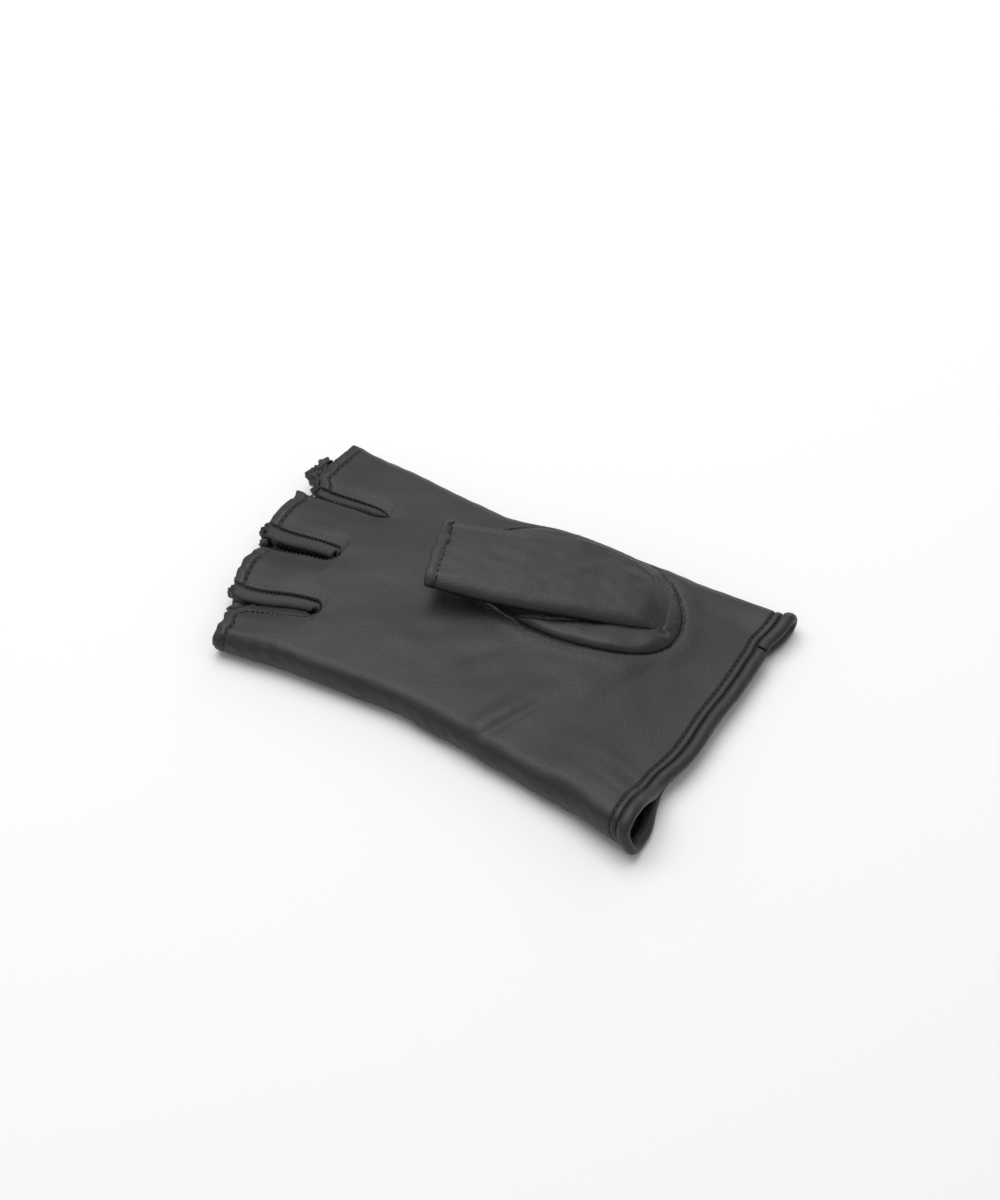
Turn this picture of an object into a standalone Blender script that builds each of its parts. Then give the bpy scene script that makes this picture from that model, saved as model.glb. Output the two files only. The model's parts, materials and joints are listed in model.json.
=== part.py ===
"""Right-hand fingerless glove in thin leather, lying on its back with the palm up.

Row frame: +Y runs from the cuff to the fingers, +X is the index side, +Z is up (out of the palm).
The origin is under the middle of the glove, on the surface it lies on. All lengths are metres.
"along" is the distance from the leather's cuff edge towards the fingers, so Y = along - HAND_Y.
"""
import math

import bmesh
import bpy
import numpy as np
from mathutils import Matrix

# ---- driving dimensions -------------------------------------------------------------------------
HAND_LENGTH = 0.1478       # cuff edge to the middle finger's end
CUFF_WIDTH = 0.098         # over the binding
WAIST_INDEX = 0.0432       # centre line to the index edge at its narrowest place
WAIST_LITTLE = 0.0384      # centre line to the little edge at its narrowest place
BODY_HEIGHT = 0.0102       # back to palm, outside
LEATHER = 0.0010           # glove leather's thickness
GAP = 0.0003               # clearance between touching pieces

# each finger, from the little one: its name, how much shorter than the middle one, its width at the end,
# and its grid columns
FINGERS = (
    ("little", 0.0125, 0.01185, 2),
    ("ring", 0.0038, 0.0162, 3),
    ("middle", 0.0, 0.0167, 3),
    ("index", 0.0040, 0.02265, 4),
)
# the gap after each finger: its name, the middle finger's end to its root, its width at the ends, how far
# its root lies to the index side of its middle, the length over which the root rounds out, and how far the
# strip between the fingers bulges into it
GAP_SIZES = (
    ("ring_little", 0.0339, 0.0102, 0.0037, 0.0030, 0.0016),
    ("middle_ring", 0.0261, 0.0093, 0.0008, 0.0026, 0.0014),
    ("index_middle", 0.0291, 0.0044, -0.0006, 0.0020, 0.0003),
)
GAP_ROOT_SHARE = 0.62      # a gap's width just past its root, as a share of that at the ends

# how the side edges narrow: (distance from the cuff, share of the way from the cuff's width to the waist's)
INDEX_TAPER = ((0.0, 0.0), (0.035, 0.13), (0.070, 0.48), (0.104, 1.0))
LITTLE_TAPER = ((0.0, 0.0), (0.006, 0.15), (0.018, 0.54), (0.038, 0.79), (0.064, 1.0))
LITTLE_BELOW_FINGERS = 0.0032       # the little edge widens again by this much below its finger
LITTLE_BELOW_LENGTH = 0.033         # at this distance below the little finger's end

CUFF_LIFT = 0.0014         # the back rises by this much under the binding
CUFF_LIFT_FLAT = 0.009     # length of that raised stretch
CUFF_LIFT_FADE = 0.024     # distance from the cuff where the back lies flat again
CUFF_OPENING = 0.0012      # extra palm height at the cuff
CORNER_PUFF = 0.0036       # extra height of the open corner on the little side
CORNER_PUFF_FADE = 0.042   # distance from the cuff where the puff ends
CORNER_PUFF_SPREAD = 0.55  # share of the palm's width that it covers
FINGER_LIFT = 0.0009       # the back rises by this much at the finger ends
FINGER_LIFT_FADE = 0.014   # distance from a finger's end where it lies flat again
EDGE_DROP = 0.0014         # the finger strips curve in by this much along each gap
EDGE_DROP_REACH = 0.0085   # distance from the gap, across the finger, where that ends
EDGE_DROP_FADE = 0.012     # distance below a gap's root where that begins

BINDING = 0.0009           # binding leather's thickness
BINDING_WIDTH = 0.0026     # its width on the outside
BINDING_TURN_IN = 0.0030   # its width on the inside
BINDING_JOINT_INSET = 0.0150        # where its two ends meet, from the index edge
FOURCHETTE = 0.0008        # leather of the strips between the fingers
FOURCHETTE_INSET = 0.0009  # wall centre behind the finger leather's edge
FOURCHETTE_GAP = 0.0006    # clearance above and below the walls, under the curved leather

THREAD = 0.0004            # diameter of a laid stitch row
SEAM_OFFSET = 0.0013       # stitch row to the leather's edge along a gap
HEM_DEPTH = 0.0028         # stitch row to a finger's end
ROW_ENDS_APART = 0.0006    # a stitch row stops this far from the row that it runs up to
CUFF_ROW_INNER = 0.0005    # first stitch row past the binding
CUFF_ROW_PITCH = 0.0024    # from the first row to the second
THUMB_SEAM_OFFSET = 0.0009 # stitch row outside the thumb hole

THUMB_HOLE_MARGIN = 0.0011 # oval hole's far edge to the start of the round index edge
THUMB_HOLE_ALONG = 0.0555  # its centre
THUMB_HOLE_WIDTH = 0.0380
THUMB_HOLE_LENGTH = 0.0680
GUSSET_BAND = 0.0072       # width of the thumb base's leather round the hole
GUSSET_CROWN = 0.0006      # its rise at the cuff end
GUSSET_FILL = 0.8          # share of the room under the rising thumb that it takes up

THUMB_LEAN = math.radians(18.2)     # the folded thumb leans from the fingers towards the palm
THUMB_PITCH = math.radians(2.8)     # and rises towards its open end
THUMB_FOLD_OUT = 0.0010    # cuff end of the fold line that the thumb turns about, past the hole's far edge
THUMB_FOLD_ALONG = 0.0050  # and past the hole's cuff end
THUMB_CLEARANCE = 0.0018   # fold line above the palm at that end
THUMB_BASE = 0.005         # stall's cuff end, along the fold line
THUMB_LENGTH = 0.0742      # stall's open end, along the fold line
THUMB_MOUTH = 0.024        # how much later the stall's underside begins
THUMB_WIDTH_BASE = 0.0193
THUMB_WIDTH_LOW = 0.0233
THUMB_WIDTH_MIDDLE = 0.0250
THUMB_WIDTH_END = 0.0231
THUMB_SHOULDER = 0.0052    # the stall's cuff end is set in from the fold line
THUMB_SHOULDER_FADE = 0.018
THUMB_HEIGHT_BASE = 0.0073
THUMB_HEIGHT_END = 0.0077
STALL_SQUARENESS = 0.55    # section of the flattened stall: 1 is round, lower is flatter above and below
STALL_SPREAD = 1.9         # how soon its flat sides begin, going round from an edge
THUMB_ANGLE = 0.0          # angle of the thumb as stored, folded over the palm

HAND_ROWS = 6              # grid rows between the cuff and the fingers
ROOT_ROWS = (0.0006, 0.0024)        # rows just past the lowest gap's root, where it rounds out
FINGER_ROWS = 5            # rows from the last root to the finger ends
ARC_STEPS = 5              # columns in a quarter turn at the glove's edges
SEAM_ANGLE = math.radians(202)      # side seam, on the little edge just below its middle
SEAM_SPLIT = math.radians(2)        # half of the opening that the leather's two long edges leave there
SIDE_ROW_ANGLE = math.radians(16)   # its stitch row, further under
FLAT = math.radians(90)
OVAL_STEPS = 36
GUSSET_RINGS = 4
WALL_ROWS = 5
WALL_BOW = 0.38            # a wall between fingers has bulged by this share of its height
STALL_ROWS = 9
STALL_SIDES = 22
THREAD_SIDES = 5
SIDE_ROW_POINTS = 22
CLOSING_POINTS = 12
LEG_STEPS = (1.0, 0.78, 0.56, 0.38, 0.24, 0.14)             # points along a gap, from the end to its root
TURN_STEPS = (40, 10, -25, -60, -90, -120, -155, -190, -220)  # and round its root, in degrees
SAME_POINT = 1e-6

COLORS = {
    "nappa": ((0.030, 0.029, 0.031), 0.46),
    "fourchette": ((0.026, 0.024, 0.027), 0.50),
    "binding": ((0.028, 0.026, 0.028), 0.44),
    "thread": ((0.012, 0.011, 0.012), 0.75),
}

# ---- what follows from them ---------------------------------------------------------------------
CUFF_HALF = CUFF_WIDTH / 2 - BINDING - GAP          # centre line to the leather's edge at the cuff
BINDING_REACH = LEATHER / 2 + GAP + BINDING / 2     # from the trank's middle to the binding's
HAND_Y = (HAND_LENGTH - BINDING_REACH - BINDING / 2) / 2
THREAD_RISE = GAP + THREAD / 2      # a stitch row's centre above the leather
SEAM_SET_BACK = HEM_DEPTH + THREAD + ROW_ENDS_APART
KNUCKLE_WIDTH = sum(size[2] for size in FINGERS) + sum(size[2] for size in GAP_SIZES)
ENDS = [HAND_LENGTH - shorter for _, shorter, _, _ in FINGERS]


def place_gaps():
    """Each gap as (name, root along, root x, little side x, index side x, rounding, bulge)."""
    placed = []
    x = -KNUCKLE_WIDTH / 2
    for finger, (name, depth, width, shift, rounding, bulge) in zip(FINGERS, GAP_SIZES):
        x += finger[2]
        placed.append((name, HAND_LENGTH - depth, x + width / 2 + shift, x, x + width, rounding, bulge))
        x += width
    return placed


GAPS = place_gaps()


# ---- helpers ------------------------------------------------------------------------------------
def smooth(value):
    """Ease from 0 to 1 as value goes from 0 to 1."""
    t = np.clip(value, 0.0, 1.0)
    return t * t * (3 - 2 * t)


def through(x, points):
    """Smooth curve through (x, y) points: cubic pieces with the mean slope of their neighbours."""
    px, py = (np.array(column, dtype=float) for column in zip(*points))
    slope = np.gradient(py, px)
    x = np.clip(x, px[0], px[-1])
    k = np.clip(np.searchsorted(px, x) - 1, 0, len(px) - 2)
    h = px[k + 1] - px[k]
    t = (x - px[k]) / h
    return ((1 + 2 * t) * (1 - t) ** 2 * py[k] + t * (1 - t) ** 2 * h * slope[k]
            + t * t * (3 - 2 * t) * py[k + 1] + t * t * (t - 1) * h * slope[k + 1])


def material(name):
    """Plain coloured leather or thread."""
    found = bpy.data.materials.get(name)
    if found:
        return found
    color, roughness = COLORS[name]
    made = bpy.data.materials.new(name)
    made.use_nodes = True
    shader = made.node_tree.nodes["Principled BSDF"]
    shader.inputs["Base Color"].default_value = (*color, 1)
    shader.inputs["Roughness"].default_value = roughness
    shader.inputs["Metallic"].default_value = 0.0
    return made


def add_object(name, verts, faces, slot, parent=None):
    """Make a smooth-shaded mesh object from vertices and faces."""
    mesh = bpy.data.meshes.new(name)
    mesh.from_pydata([tuple(v) for v in verts], [], faces)
    mesh.update()
    mesh.shade_smooth()
    piece = bpy.data.objects.new(name, mesh)
    bpy.context.scene.collection.objects.link(piece)
    piece.data.materials.append(material(slot))
    piece.parent = parent
    return piece


def merge_and_face_out(piece, outward=True):
    """Merge the columns that coincide and give all faces one direction."""
    mesh = bmesh.new()
    mesh.from_mesh(piece.data)
    bmesh.ops.remove_doubles(mesh, verts=mesh.verts, dist=SAME_POINT)
    if outward:
        bmesh.ops.recalc_face_normals(mesh, faces=mesh.faces)
    mesh.to_mesh(piece.data)
    mesh.free()
    piece.data.shade_smooth()


def thicken(piece, thickness, offset, even=True):
    """Give a leather sheet its thickness: offset -1 grows it behind its faces, 0 on both sides."""
    solid = piece.modifiers.new("thickness", "SOLIDIFY")
    solid.thickness = thickness
    solid.offset = offset
    solid.use_even_offset = even


def grid_faces(rows, columns, closed=False):
    """Quads of a rows x columns grid, joined round its columns if closed."""
    last = columns if closed else columns - 1
    return [(r * columns + c, r * columns + (c + 1) % columns,
             (r + 1) * columns + (c + 1) % columns, (r + 1) * columns + c)
            for r in range(rows - 1) for c in range(last)]


def thread(name, points, closed=False, parent=None):
    """Laid stitch row: a thin tube along points, closed into a ring or capped at both ends."""
    points = np.asarray(points, dtype=float)
    if closed:
        ahead, behind = np.roll(points, -1, axis=0), np.roll(points, 1, axis=0)
    else:
        ahead, behind = np.vstack([points[1:], points[-1:]]), np.vstack([points[:1], points[:-1]])
    run = ahead - behind
    run /= np.linalg.norm(run, axis=1, keepdims=True)
    reference = np.where(np.abs(run[:, 2:]) > 0.9, [[1.0, 0, 0]], [[0, 0, 1.0]]) if not closed \
        else np.tile(loop_normal(points), (len(points), 1))
    side = np.cross(run, reference)
    side /= np.linalg.norm(side, axis=1, keepdims=True)
    up = np.cross(side, run)
    turn = np.arange(THREAD_SIDES) * 2 * math.pi / THREAD_SIDES
    ring = (side[:, None] * np.cos(turn)[None, :, None] + up[:, None] * np.sin(turn)[None, :, None])
    verts = (points[:, None] + ring * THREAD / 2).reshape(-1, 3)
    count = len(points)
    if closed:
        faces = [(r * THREAD_SIDES + c, r * THREAD_SIDES + (c + 1) % THREAD_SIDES,
                  ((r + 1) % count) * THREAD_SIDES + (c + 1) % THREAD_SIDES,
                  ((r + 1) % count) * THREAD_SIDES + c)
                 for r in range(count) for c in range(THREAD_SIDES)]
    else:
        faces = grid_faces(count, THREAD_SIDES, closed=True)
        faces.append(tuple(range(THREAD_SIDES)))
        faces.append(tuple(range((count - 1) * THREAD_SIDES, count * THREAD_SIDES)))
    made = add_object(name, verts, faces, "thread", parent)
    merge_and_face_out(made)
    return made


def loop_normal(points):
    """Unit normal of a closed loop, the axis that it goes round."""
    middle = points.mean(axis=0)
    normal = np.cross(points - middle, np.roll(points, -1, axis=0) - middle).sum(axis=0)
    return normal / np.linalg.norm(normal)


# ---- the glove's flattened tube -----------------------------------------------------------------
def taper(points, waist):
    """Distances from the cuff with their half width, on the way from the cuff's to the waist's."""
    return [(along, CUFF_HALF + (waist - CUFF_HALF) * share) for along, share in points]


def index_edge(along):
    """x of the index edge's outside."""
    return through(along, taper(INDEX_TAPER, WAIST_INDEX) + [(HAND_LENGTH, KNUCKLE_WIDTH / 2)])


def little_edge(along):
    """x of the little edge's outside."""
    below = (ENDS[0] - LITTLE_BELOW_LENGTH, WAIST_LITTLE + LITTLE_BELOW_FINGERS)
    return -through(along, taper(LITTLE_TAPER, WAIST_LITTLE) + [below, (ENDS[0], KNUCKLE_WIDTH / 2)])


def back_height(along, finger_end):
    """z of the back's outside, away from the finger gaps."""
    cuff = 1 - smooth((along - CUFF_LIFT_FLAT) / (CUFF_LIFT_FADE - CUFF_LIFT_FLAT))
    end = smooth((along - finger_end + FINGER_LIFT_FADE) / (FINGER_LIFT_FADE - HEM_DEPTH))
    return CUFF_LIFT * cuff + FINGER_LIFT * end


def palm_height(along, across):
    """z of the palm's outside; across runs from 0 at the little edge to 1 at the index edge."""
    cuff = 1 - smooth(along / CUFF_LIFT_FADE)
    puff = 1 - smooth(along / CORNER_PUFF_FADE)
    return BODY_HEIGHT + CUFF_OPENING * cuff + CORNER_PUFF * puff * (1 - smooth(across / CORNER_PUFF_SPREAD))


def gap_sides(gap, along):
    """x of a gap's little side and index side; equal below its root."""
    _, root, root_x, low_x, high_x, rounding, _ = gap
    past = max(along - root, 0.0)
    opened = math.sqrt(1 - (1 - min(past / rounding, 1)) ** 2)
    share = GAP_ROOT_SHARE + (1 - GAP_ROOT_SHARE) * past / (HAND_LENGTH - root)
    return root_x + (low_x - root_x) * opened * share, root_x + (high_x - root_x) * opened * share


def edge_drop(gap, along, distance, width):
    """How far a finger's leather, of one width, has curved in at a distance from a gap's side."""
    fade = smooth((along - gap[1] + EDGE_DROP_FADE) / EDGE_DROP_FADE)
    return EDGE_DROP * fade * (1 - smooth(distance / min(EDGE_DROP_REACH, width)))


def flat_span(along, finger_end):
    """x where the edges' round turns end, and their radii: (left, right, left radius, right radius)."""
    back = back_height(along, finger_end)
    left = (palm_height(along, 0.0) - back) / 2
    right = (palm_height(along, 1.0) - back) / 2
    return little_edge(along) + left, index_edge(along) - right, left, right


def strip_columns(k, along):
    """x, palm z and back z of one finger strip's columns, at one distance along the glove."""
    low, high, _, _ = flat_span(along, ENDS[k])
    left, width = low, high - low
    if k > 0:
        low = gap_sides(GAPS[k - 1], along)[1]
    if k < len(GAPS):
        high = gap_sides(GAPS[k], along)[0]
    x = np.linspace(low, high, FINGERS[k][3] + 1)
    drop = np.zeros(len(x))
    if k > 0:
        drop = np.maximum(drop, edge_drop(GAPS[k - 1], along, x - low, high - low))
    if k < len(GAPS):
        drop = np.maximum(drop, edge_drop(GAPS[k], along, high - x, high - low))
    return x, palm_height(along, (x - left) / width) - drop, back_height(along, ENDS[k]) + drop


def row_alongs():
    """Distances along the glove of every grid row, for each finger strip."""
    roots = sorted(gap[1] for gap in GAPS)
    cuff = (0.0, BINDING_WIDTH, CUFF_LIFT_FLAT, (CUFF_LIFT_FLAT + CUFF_LIFT_FADE) / 2)
    hand = np.linspace(CUFF_LIFT_FADE, roots[0] - EDGE_DROP_FADE, HAND_ROWS).tolist()
    middle = [roots[0] - EDGE_DROP_FADE / 2] + [roots[0] + step for step in ROOT_ROWS]
    shared = sorted([*cuff, *hand, *middle, *roots])
    rows = [[value] * len(FINGERS) for value in shared]
    for step in range(1, FINGER_ROWS + 1):
        rows.append([shared[-1] + (end - shared[-1]) * step / FINGER_ROWS for end in ENDS])
    return rows


def edge_arc(x, z, radius, start, end):
    """Points of a round edge seen from the cuff, from one angle to another."""
    steps = max(2, int(round(ARC_STEPS * abs(end - start) / FLAT)) + 1)
    angle = np.linspace(start, end, steps)
    return x + radius * np.cos(angle), z + radius * np.sin(angle)


def section_runs(alongs):
    """The section's sheets as (strip number, x, z): little edge, palm, index edge, back, little edge."""
    columns = [strip_columns(k, along) for k, along in enumerate(alongs)]
    left, _, r_left, _ = flat_span(alongs[0], ENDS[0])
    _, right, _, r_right = flat_span(alongs[-1], ENDS[-1])
    z_left = back_height(alongs[0], ENDS[0]) + r_left
    z_right = back_height(alongs[-1], ENDS[-1]) + r_right
    runs = [(0, *edge_arc(left, z_left, r_left, SEAM_ANGLE - SEAM_SPLIT, FLAT))]
    runs += [(k, x, palm) for k, (x, palm, _) in enumerate(columns)]
    runs.append((len(ENDS) - 1, *edge_arc(right, z_right, r_right, FLAT, -FLAT)))
    runs += [(k, columns[k][0][::-1], columns[k][2][::-1]) for k in reversed(range(len(ENDS)))]
    runs.append((0, *edge_arc(left, z_left, r_left, 3 * FLAT, SEAM_ANGLE + SEAM_SPLIT)))
    return runs


def section_loop(along):
    """Closed outline of the hand at one distance from the cuff, from the side seam over the palm."""
    points = []
    for _, x, z in section_runs([along] * len(ENDS)):
        points += [(float(a), float(b)) for a, b in zip(x, z)]
    tidy = [points[0]]
    for point in points[1:]:
        if math.dist(point, tidy[-1]) > SAME_POINT:
            tidy.append(point)
    return np.array(tidy)


def outward(loop):
    """Unit outward directions at the points of a closed section outline."""
    run = np.roll(loop, -1, axis=0) - np.roll(loop, 1, axis=0)
    normal = np.stack([-run[:, 1], run[:, 0]], axis=1)
    return normal / np.linalg.norm(normal, axis=1, keepdims=True)


def sheet_height(x, along, side):
    """z of the palm's (side 0) or the back's (side 1) outside at a point of the hand or a finger."""
    columns = [strip_columns(k, along) for k in range(len(ENDS))]
    xs = np.concatenate([column[0] for column in columns])
    zs = np.concatenate([column[1 + side] for column in columns])
    return float(np.interp(x, xs, zs))


# ---- pieces -------------------------------------------------------------------------------------
def make_trank():
    """Palm and back in one piece of leather, folded at the index edge, with the thumb's oval hole."""
    rows = row_alongs()
    verts, faces = [], []
    grid = [section_runs(row) for row in rows]
    for run in range(len(grid[0])):
        first = len(verts)
        count = len(grid[0][run][1])
        for row, runs in zip(rows, grid):
            strip, x, z = runs[run]
            verts += [(float(a), row[strip] - HAND_Y, float(b)) for a, b in zip(x, z)]
        faces += [tuple(first + index for index in face) for face in grid_faces(len(rows), count)]
    trank = add_object("trank", verts, faces, "nappa")
    merge_and_face_out(trank, outward=False)
    thicken(trank, LEATHER, -1)
    cut = trank.modifiers.new("thumb_hole", "BOOLEAN")
    cut.operation = "DIFFERENCE"
    cut.object = make_oval_cutter()
    return trank


THUMB_HOLE_X = (float(index_edge(THUMB_HOLE_ALONG)) - BODY_HEIGHT / 2 - THUMB_HOLE_MARGIN
                - THUMB_HOLE_WIDTH / 2)
THUMB_HINGE_X = THUMB_HOLE_X + THUMB_HOLE_WIDTH / 2 + THUMB_FOLD_OUT
THUMB_HINGE_ALONG = THUMB_HOLE_ALONG - THUMB_HOLE_LENGTH / 2 + THUMB_FOLD_ALONG


def oval(extra):
    """Points (x, along) of the thumb hole's outline, grown by extra."""
    angle = np.arange(OVAL_STEPS) * 2 * math.pi / OVAL_STEPS
    return (THUMB_HOLE_X + (THUMB_HOLE_WIDTH / 2 + extra) * np.cos(angle),
            THUMB_HOLE_ALONG + (THUMB_HOLE_LENGTH / 2 + extra) * np.sin(angle))


def make_oval_cutter():
    """Upright prism that cuts the palm only."""
    x, along = oval(0.0)
    low, high = BODY_HEIGHT / 2, BODY_HEIGHT * 1.5
    verts = [(a, b - HAND_Y, z) for z in (low, high) for a, b in zip(x, along)]
    faces = grid_faces(2, OVAL_STEPS, closed=True)
    faces += [tuple(range(OVAL_STEPS))[::-1], tuple(range(OVAL_STEPS, 2 * OVAL_STEPS))]
    cutter = add_object("thumb_hole_cutter", verts, faces, "nappa")
    merge_and_face_out(cutter)
    cutter.hide_render = True
    cutter.display_type = "WIRE"
    return cutter


def make_gusset():
    """Thumb base: a low band of leather set into the palm's oval hole."""
    verts = []
    for ring in range(GUSSET_RINGS):
        share = ring / (GUSSET_RINGS - 1)
        x, along = oval(-GAP - GUSSET_BAND * share)
        room = np.maximum(along - THUMB_HINGE_ALONG, 0.0) * math.tan(THUMB_PITCH)
        z = BODY_HEIGHT + (GUSSET_CROWN + room * GUSSET_FILL) * smooth(share)
        verts += list(zip(x, along - HAND_Y, z))
    gusset = add_object("thumb_gusset", verts, grid_faces(GUSSET_RINGS, OVAL_STEPS, closed=True), "nappa")
    thicken(gusset, LEATHER, -1)
    return gusset


def gap_path(number, offset, set_back):
    """Points (x, along) of a U path round a gap, offset from its edges onto the finger leather."""
    gap = GAPS[number]
    root, root_x, rounding = gap[1], gap[2], gap[5]
    index_alongs = [root + (ENDS[number + 1] - set_back - root) * step for step in LEG_STEPS]
    little_alongs = [root + (ENDS[number] - set_back - root) * step for step in LEG_STEPS]
    index_leg = [(gap_sides(gap, along)[1] + offset, along) for along in index_alongs]
    little_leg = [(gap_sides(gap, along)[0] - offset, along) for along in little_alongs]
    low, high = gap_sides(gap, root + rounding)
    half = (high - low) / 2 + offset
    turn = []
    for angle in np.radians(TURN_STEPS):
        centre = (high + low) / 2 + (root_x - (high + low) / 2) * max(-math.sin(angle), 0.0)
        along = root + rounding + (rounding + offset) * math.sin(angle)
        turn.append((centre + half * math.cos(angle), along))
    last = min(index_alongs[-1], little_alongs[-1]) - THREAD
    return np.array(index_leg + [point for point in turn if point[1] < last] + little_leg[::-1])


def make_fourchette(number):
    """Strip between two fingers: two walls joined round the gap's root, bulging into the gap."""
    gap = GAPS[number]
    path = gap_path(number, FOURCHETTE_INSET, 0.0)
    run = np.gradient(path, axis=0)
    run /= np.linalg.norm(run, axis=1, keepdims=True)
    inward = np.stack([run[:, 1], -run[:, 0]], axis=1)
    low = np.array([sheet_height(x, along, 1) for x, along in path]) + LEATHER + FOURCHETTE_GAP
    high = np.array([sheet_height(x, along, 0) for x, along in path]) - LEATHER - FOURCHETTE_GAP
    verts = []
    for row in range(WALL_ROWS):
        share = row / (WALL_ROWS - 1)
        place = path + inward * gap[6] * math.sin(math.pi * share)
        verts += list(zip(place[:, 0], place[:, 1] - HAND_Y, low + (high - low) * share))
    piece = add_object("fourchette_" + gap[0], verts, grid_faces(WALL_ROWS, len(path)), "fourchette")
    thicken(piece, FOURCHETTE, 0)
    return piece


def make_binding():
    """Leather strip folded over the cuff's edge, its two ends meeting on the palm."""
    profile = [(BINDING_WIDTH, BINDING_REACH), (BINDING_WIDTH / 2, BINDING_REACH)]
    profile += [(-BINDING_REACH * math.cos(turn), BINDING_REACH * math.sin(turn))
                for turn in (FLAT, FLAT / 2, 0.0, -FLAT / 2, -FLAT)]
    profile.append((BINDING_TURN_IN, -BINDING_REACH))
    joint_x = CUFF_HALF - BINDING_JOINT_INSET
    verts = []
    for along, lift in profile:
        loop = section_loop(max(along, 0.0))
        path = loop + outward(loop) * (lift - LEATHER / 2)
        start = np.argmax((loop[:, 0] > joint_x) & (loop[:, 1] > BODY_HEIGHT / 2))
        ordered = np.roll(path, -start, axis=0)
        before, after = ordered[-1], ordered[0]
        joint = before + (after - before) * (joint_x - before[0]) / (after[0] - before[0])
        gap = (after - before) / np.linalg.norm(after - before) * GAP
        ends = np.vstack([joint + gap, ordered, joint - gap])
        verts += [(x, along - HAND_Y, z) for x, z in ends]
    binding = add_object("cuff_binding", verts, grid_faces(len(profile), len(ends)), "binding")
    thicken(binding, BINDING, 0, even=False)
    return binding


def cuff_row(name, along):
    """Stitch row right round the cuff."""
    loop = section_loop(along)
    path = loop + outward(loop) * THREAD_RISE
    thread(name, [(x, along - HAND_Y, z) for x, z in path], closed=True)


def gap_seam(number, side):
    """Stitch row that joins the strip between two fingers to the palm (0) or to the back (1)."""
    rise = -THREAD_RISE if side else THREAD_RISE
    points = [(x, along - HAND_Y, sheet_height(x, along, side) + rise)
              for x, along in gap_path(number, SEAM_OFFSET, SEAM_SET_BACK)]
    thread("seam_%s_%s" % (GAPS[number][0], ("palm", "back")[side]), points)


def hem_side(x, palm, back, sign, bulge):
    """Points (x, z) of a hem row's stretch down the side of a finger that faces a gap."""
    out = x + sign * (THREAD_RISE + GAP)
    far = out + sign * max(bulge - FOURCHETTE_INSET + FOURCHETTE / 2, 0.0)
    bow = (palm - back) * WALL_BOW
    return [(out, palm), (out, palm - LEATHER), (far, palm - bow), (far, back + bow), (out, back + LEATHER),
            (out, back)]


def hem_turn(x, palm, back, start, end):
    """Points (x, z) of a hem row's stretch round one of the glove's side edges."""
    return list(zip(*edge_arc(x, (palm + back) / 2, (palm - back) / 2 + THREAD_RISE, start, end)))[1:-1]


def finger_hem(number):
    """Stitch row round one finger's turned-in end."""
    along = ENDS[number] - HEM_DEPTH
    x, palm, back = strip_columns(number, along)
    points = list(zip(x, palm + THREAD_RISE))
    if number < len(GAPS):
        points += hem_side(x[-1], palm[-1], back[-1], 1, GAPS[number][6])
    else:
        points += hem_turn(x[-1], palm[-1], back[-1], FLAT, -FLAT)
    points += list(zip(x[::-1], back[::-1] - THREAD_RISE))
    if number > 0:
        points += hem_side(x[0], palm[0], back[0], -1, GAPS[number - 1][6])[::-1]
    else:
        points += hem_turn(x[0], palm[0], back[0], 3 * FLAT, FLAT)
    thread("hem_stitch_" + FINGERS[number][0], [(a, along - HAND_Y, b) for a, b in points], closed=True)


def side_seam():
    """Stitch row along the little edge, where the leather's two long edges meet."""
    angle = SEAM_ANGLE + SIDE_ROW_ANGLE
    points = []
    first = BINDING_WIDTH + CUFF_ROW_INNER + CUFF_ROW_PITCH + THREAD + ROW_ENDS_APART
    for along in np.linspace(first, ENDS[0] - SEAM_SET_BACK, SIDE_ROW_POINTS):
        left, _, radius, _ = flat_span(along, ENDS[0])
        middle = back_height(along, ENDS[0]) + radius
        reach = radius + THREAD_RISE
        points.append((left + reach * math.cos(angle), along - HAND_Y, middle + reach * math.sin(angle)))
    thread("side_seam_stitch", points)


def thumb_seam():
    """Stitch row that sets the thumb into the palm."""
    x, along = oval(THUMB_SEAM_OFFSET)
    points = [(a, b - HAND_Y, sheet_height(a, b, 0) + THREAD_RISE) for a, b in zip(x, along)]
    thread("thumb_setting_stitch", points, closed=True)


# ---- the thumb, in its hinge's own frame: Y along the fold line, X away from the palm, Z up ---------
def thumb_size(along):
    """Far edge, near edge and height of the stall at a distance along the fold line."""
    far = -THUMB_SHOULDER * (1 - smooth((along - THUMB_BASE) / THUMB_SHOULDER_FADE))
    near = -through(along, ((THUMB_BASE, THUMB_WIDTH_BASE), (THUMB_LENGTH / 3, THUMB_WIDTH_LOW),
                            (THUMB_LENGTH * 2 / 3, THUMB_WIDTH_MIDDLE), (THUMB_LENGTH, THUMB_WIDTH_END)))
    share = (along - THUMB_BASE) / (THUMB_LENGTH - THUMB_BASE)
    return far, near, THUMB_HEIGHT_BASE + (THUMB_HEIGHT_END - THUMB_HEIGHT_BASE) * share


STALL_ANGLES = -np.arange(STALL_SIDES) * 2 * math.pi / STALL_SIDES     # clockwise from the far edge


def thumb_point(angle, along, grow=0.0):
    """Point of the stall's flattened section; angle 0 is the far edge, 90 degrees the top."""
    far, near, height = thumb_size(along)
    radius = height / 2
    c, s = math.cos(angle), math.sin(angle)
    flat = (far - near) / 2 - radius
    x = (far + near) / 2 + flat * np.clip(c * STALL_SPREAD, -1, 1) + (radius + grow) * c
    return x, radius + (radius + grow) * np.sign(s) * abs(s) ** STALL_SQUARENESS


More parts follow.
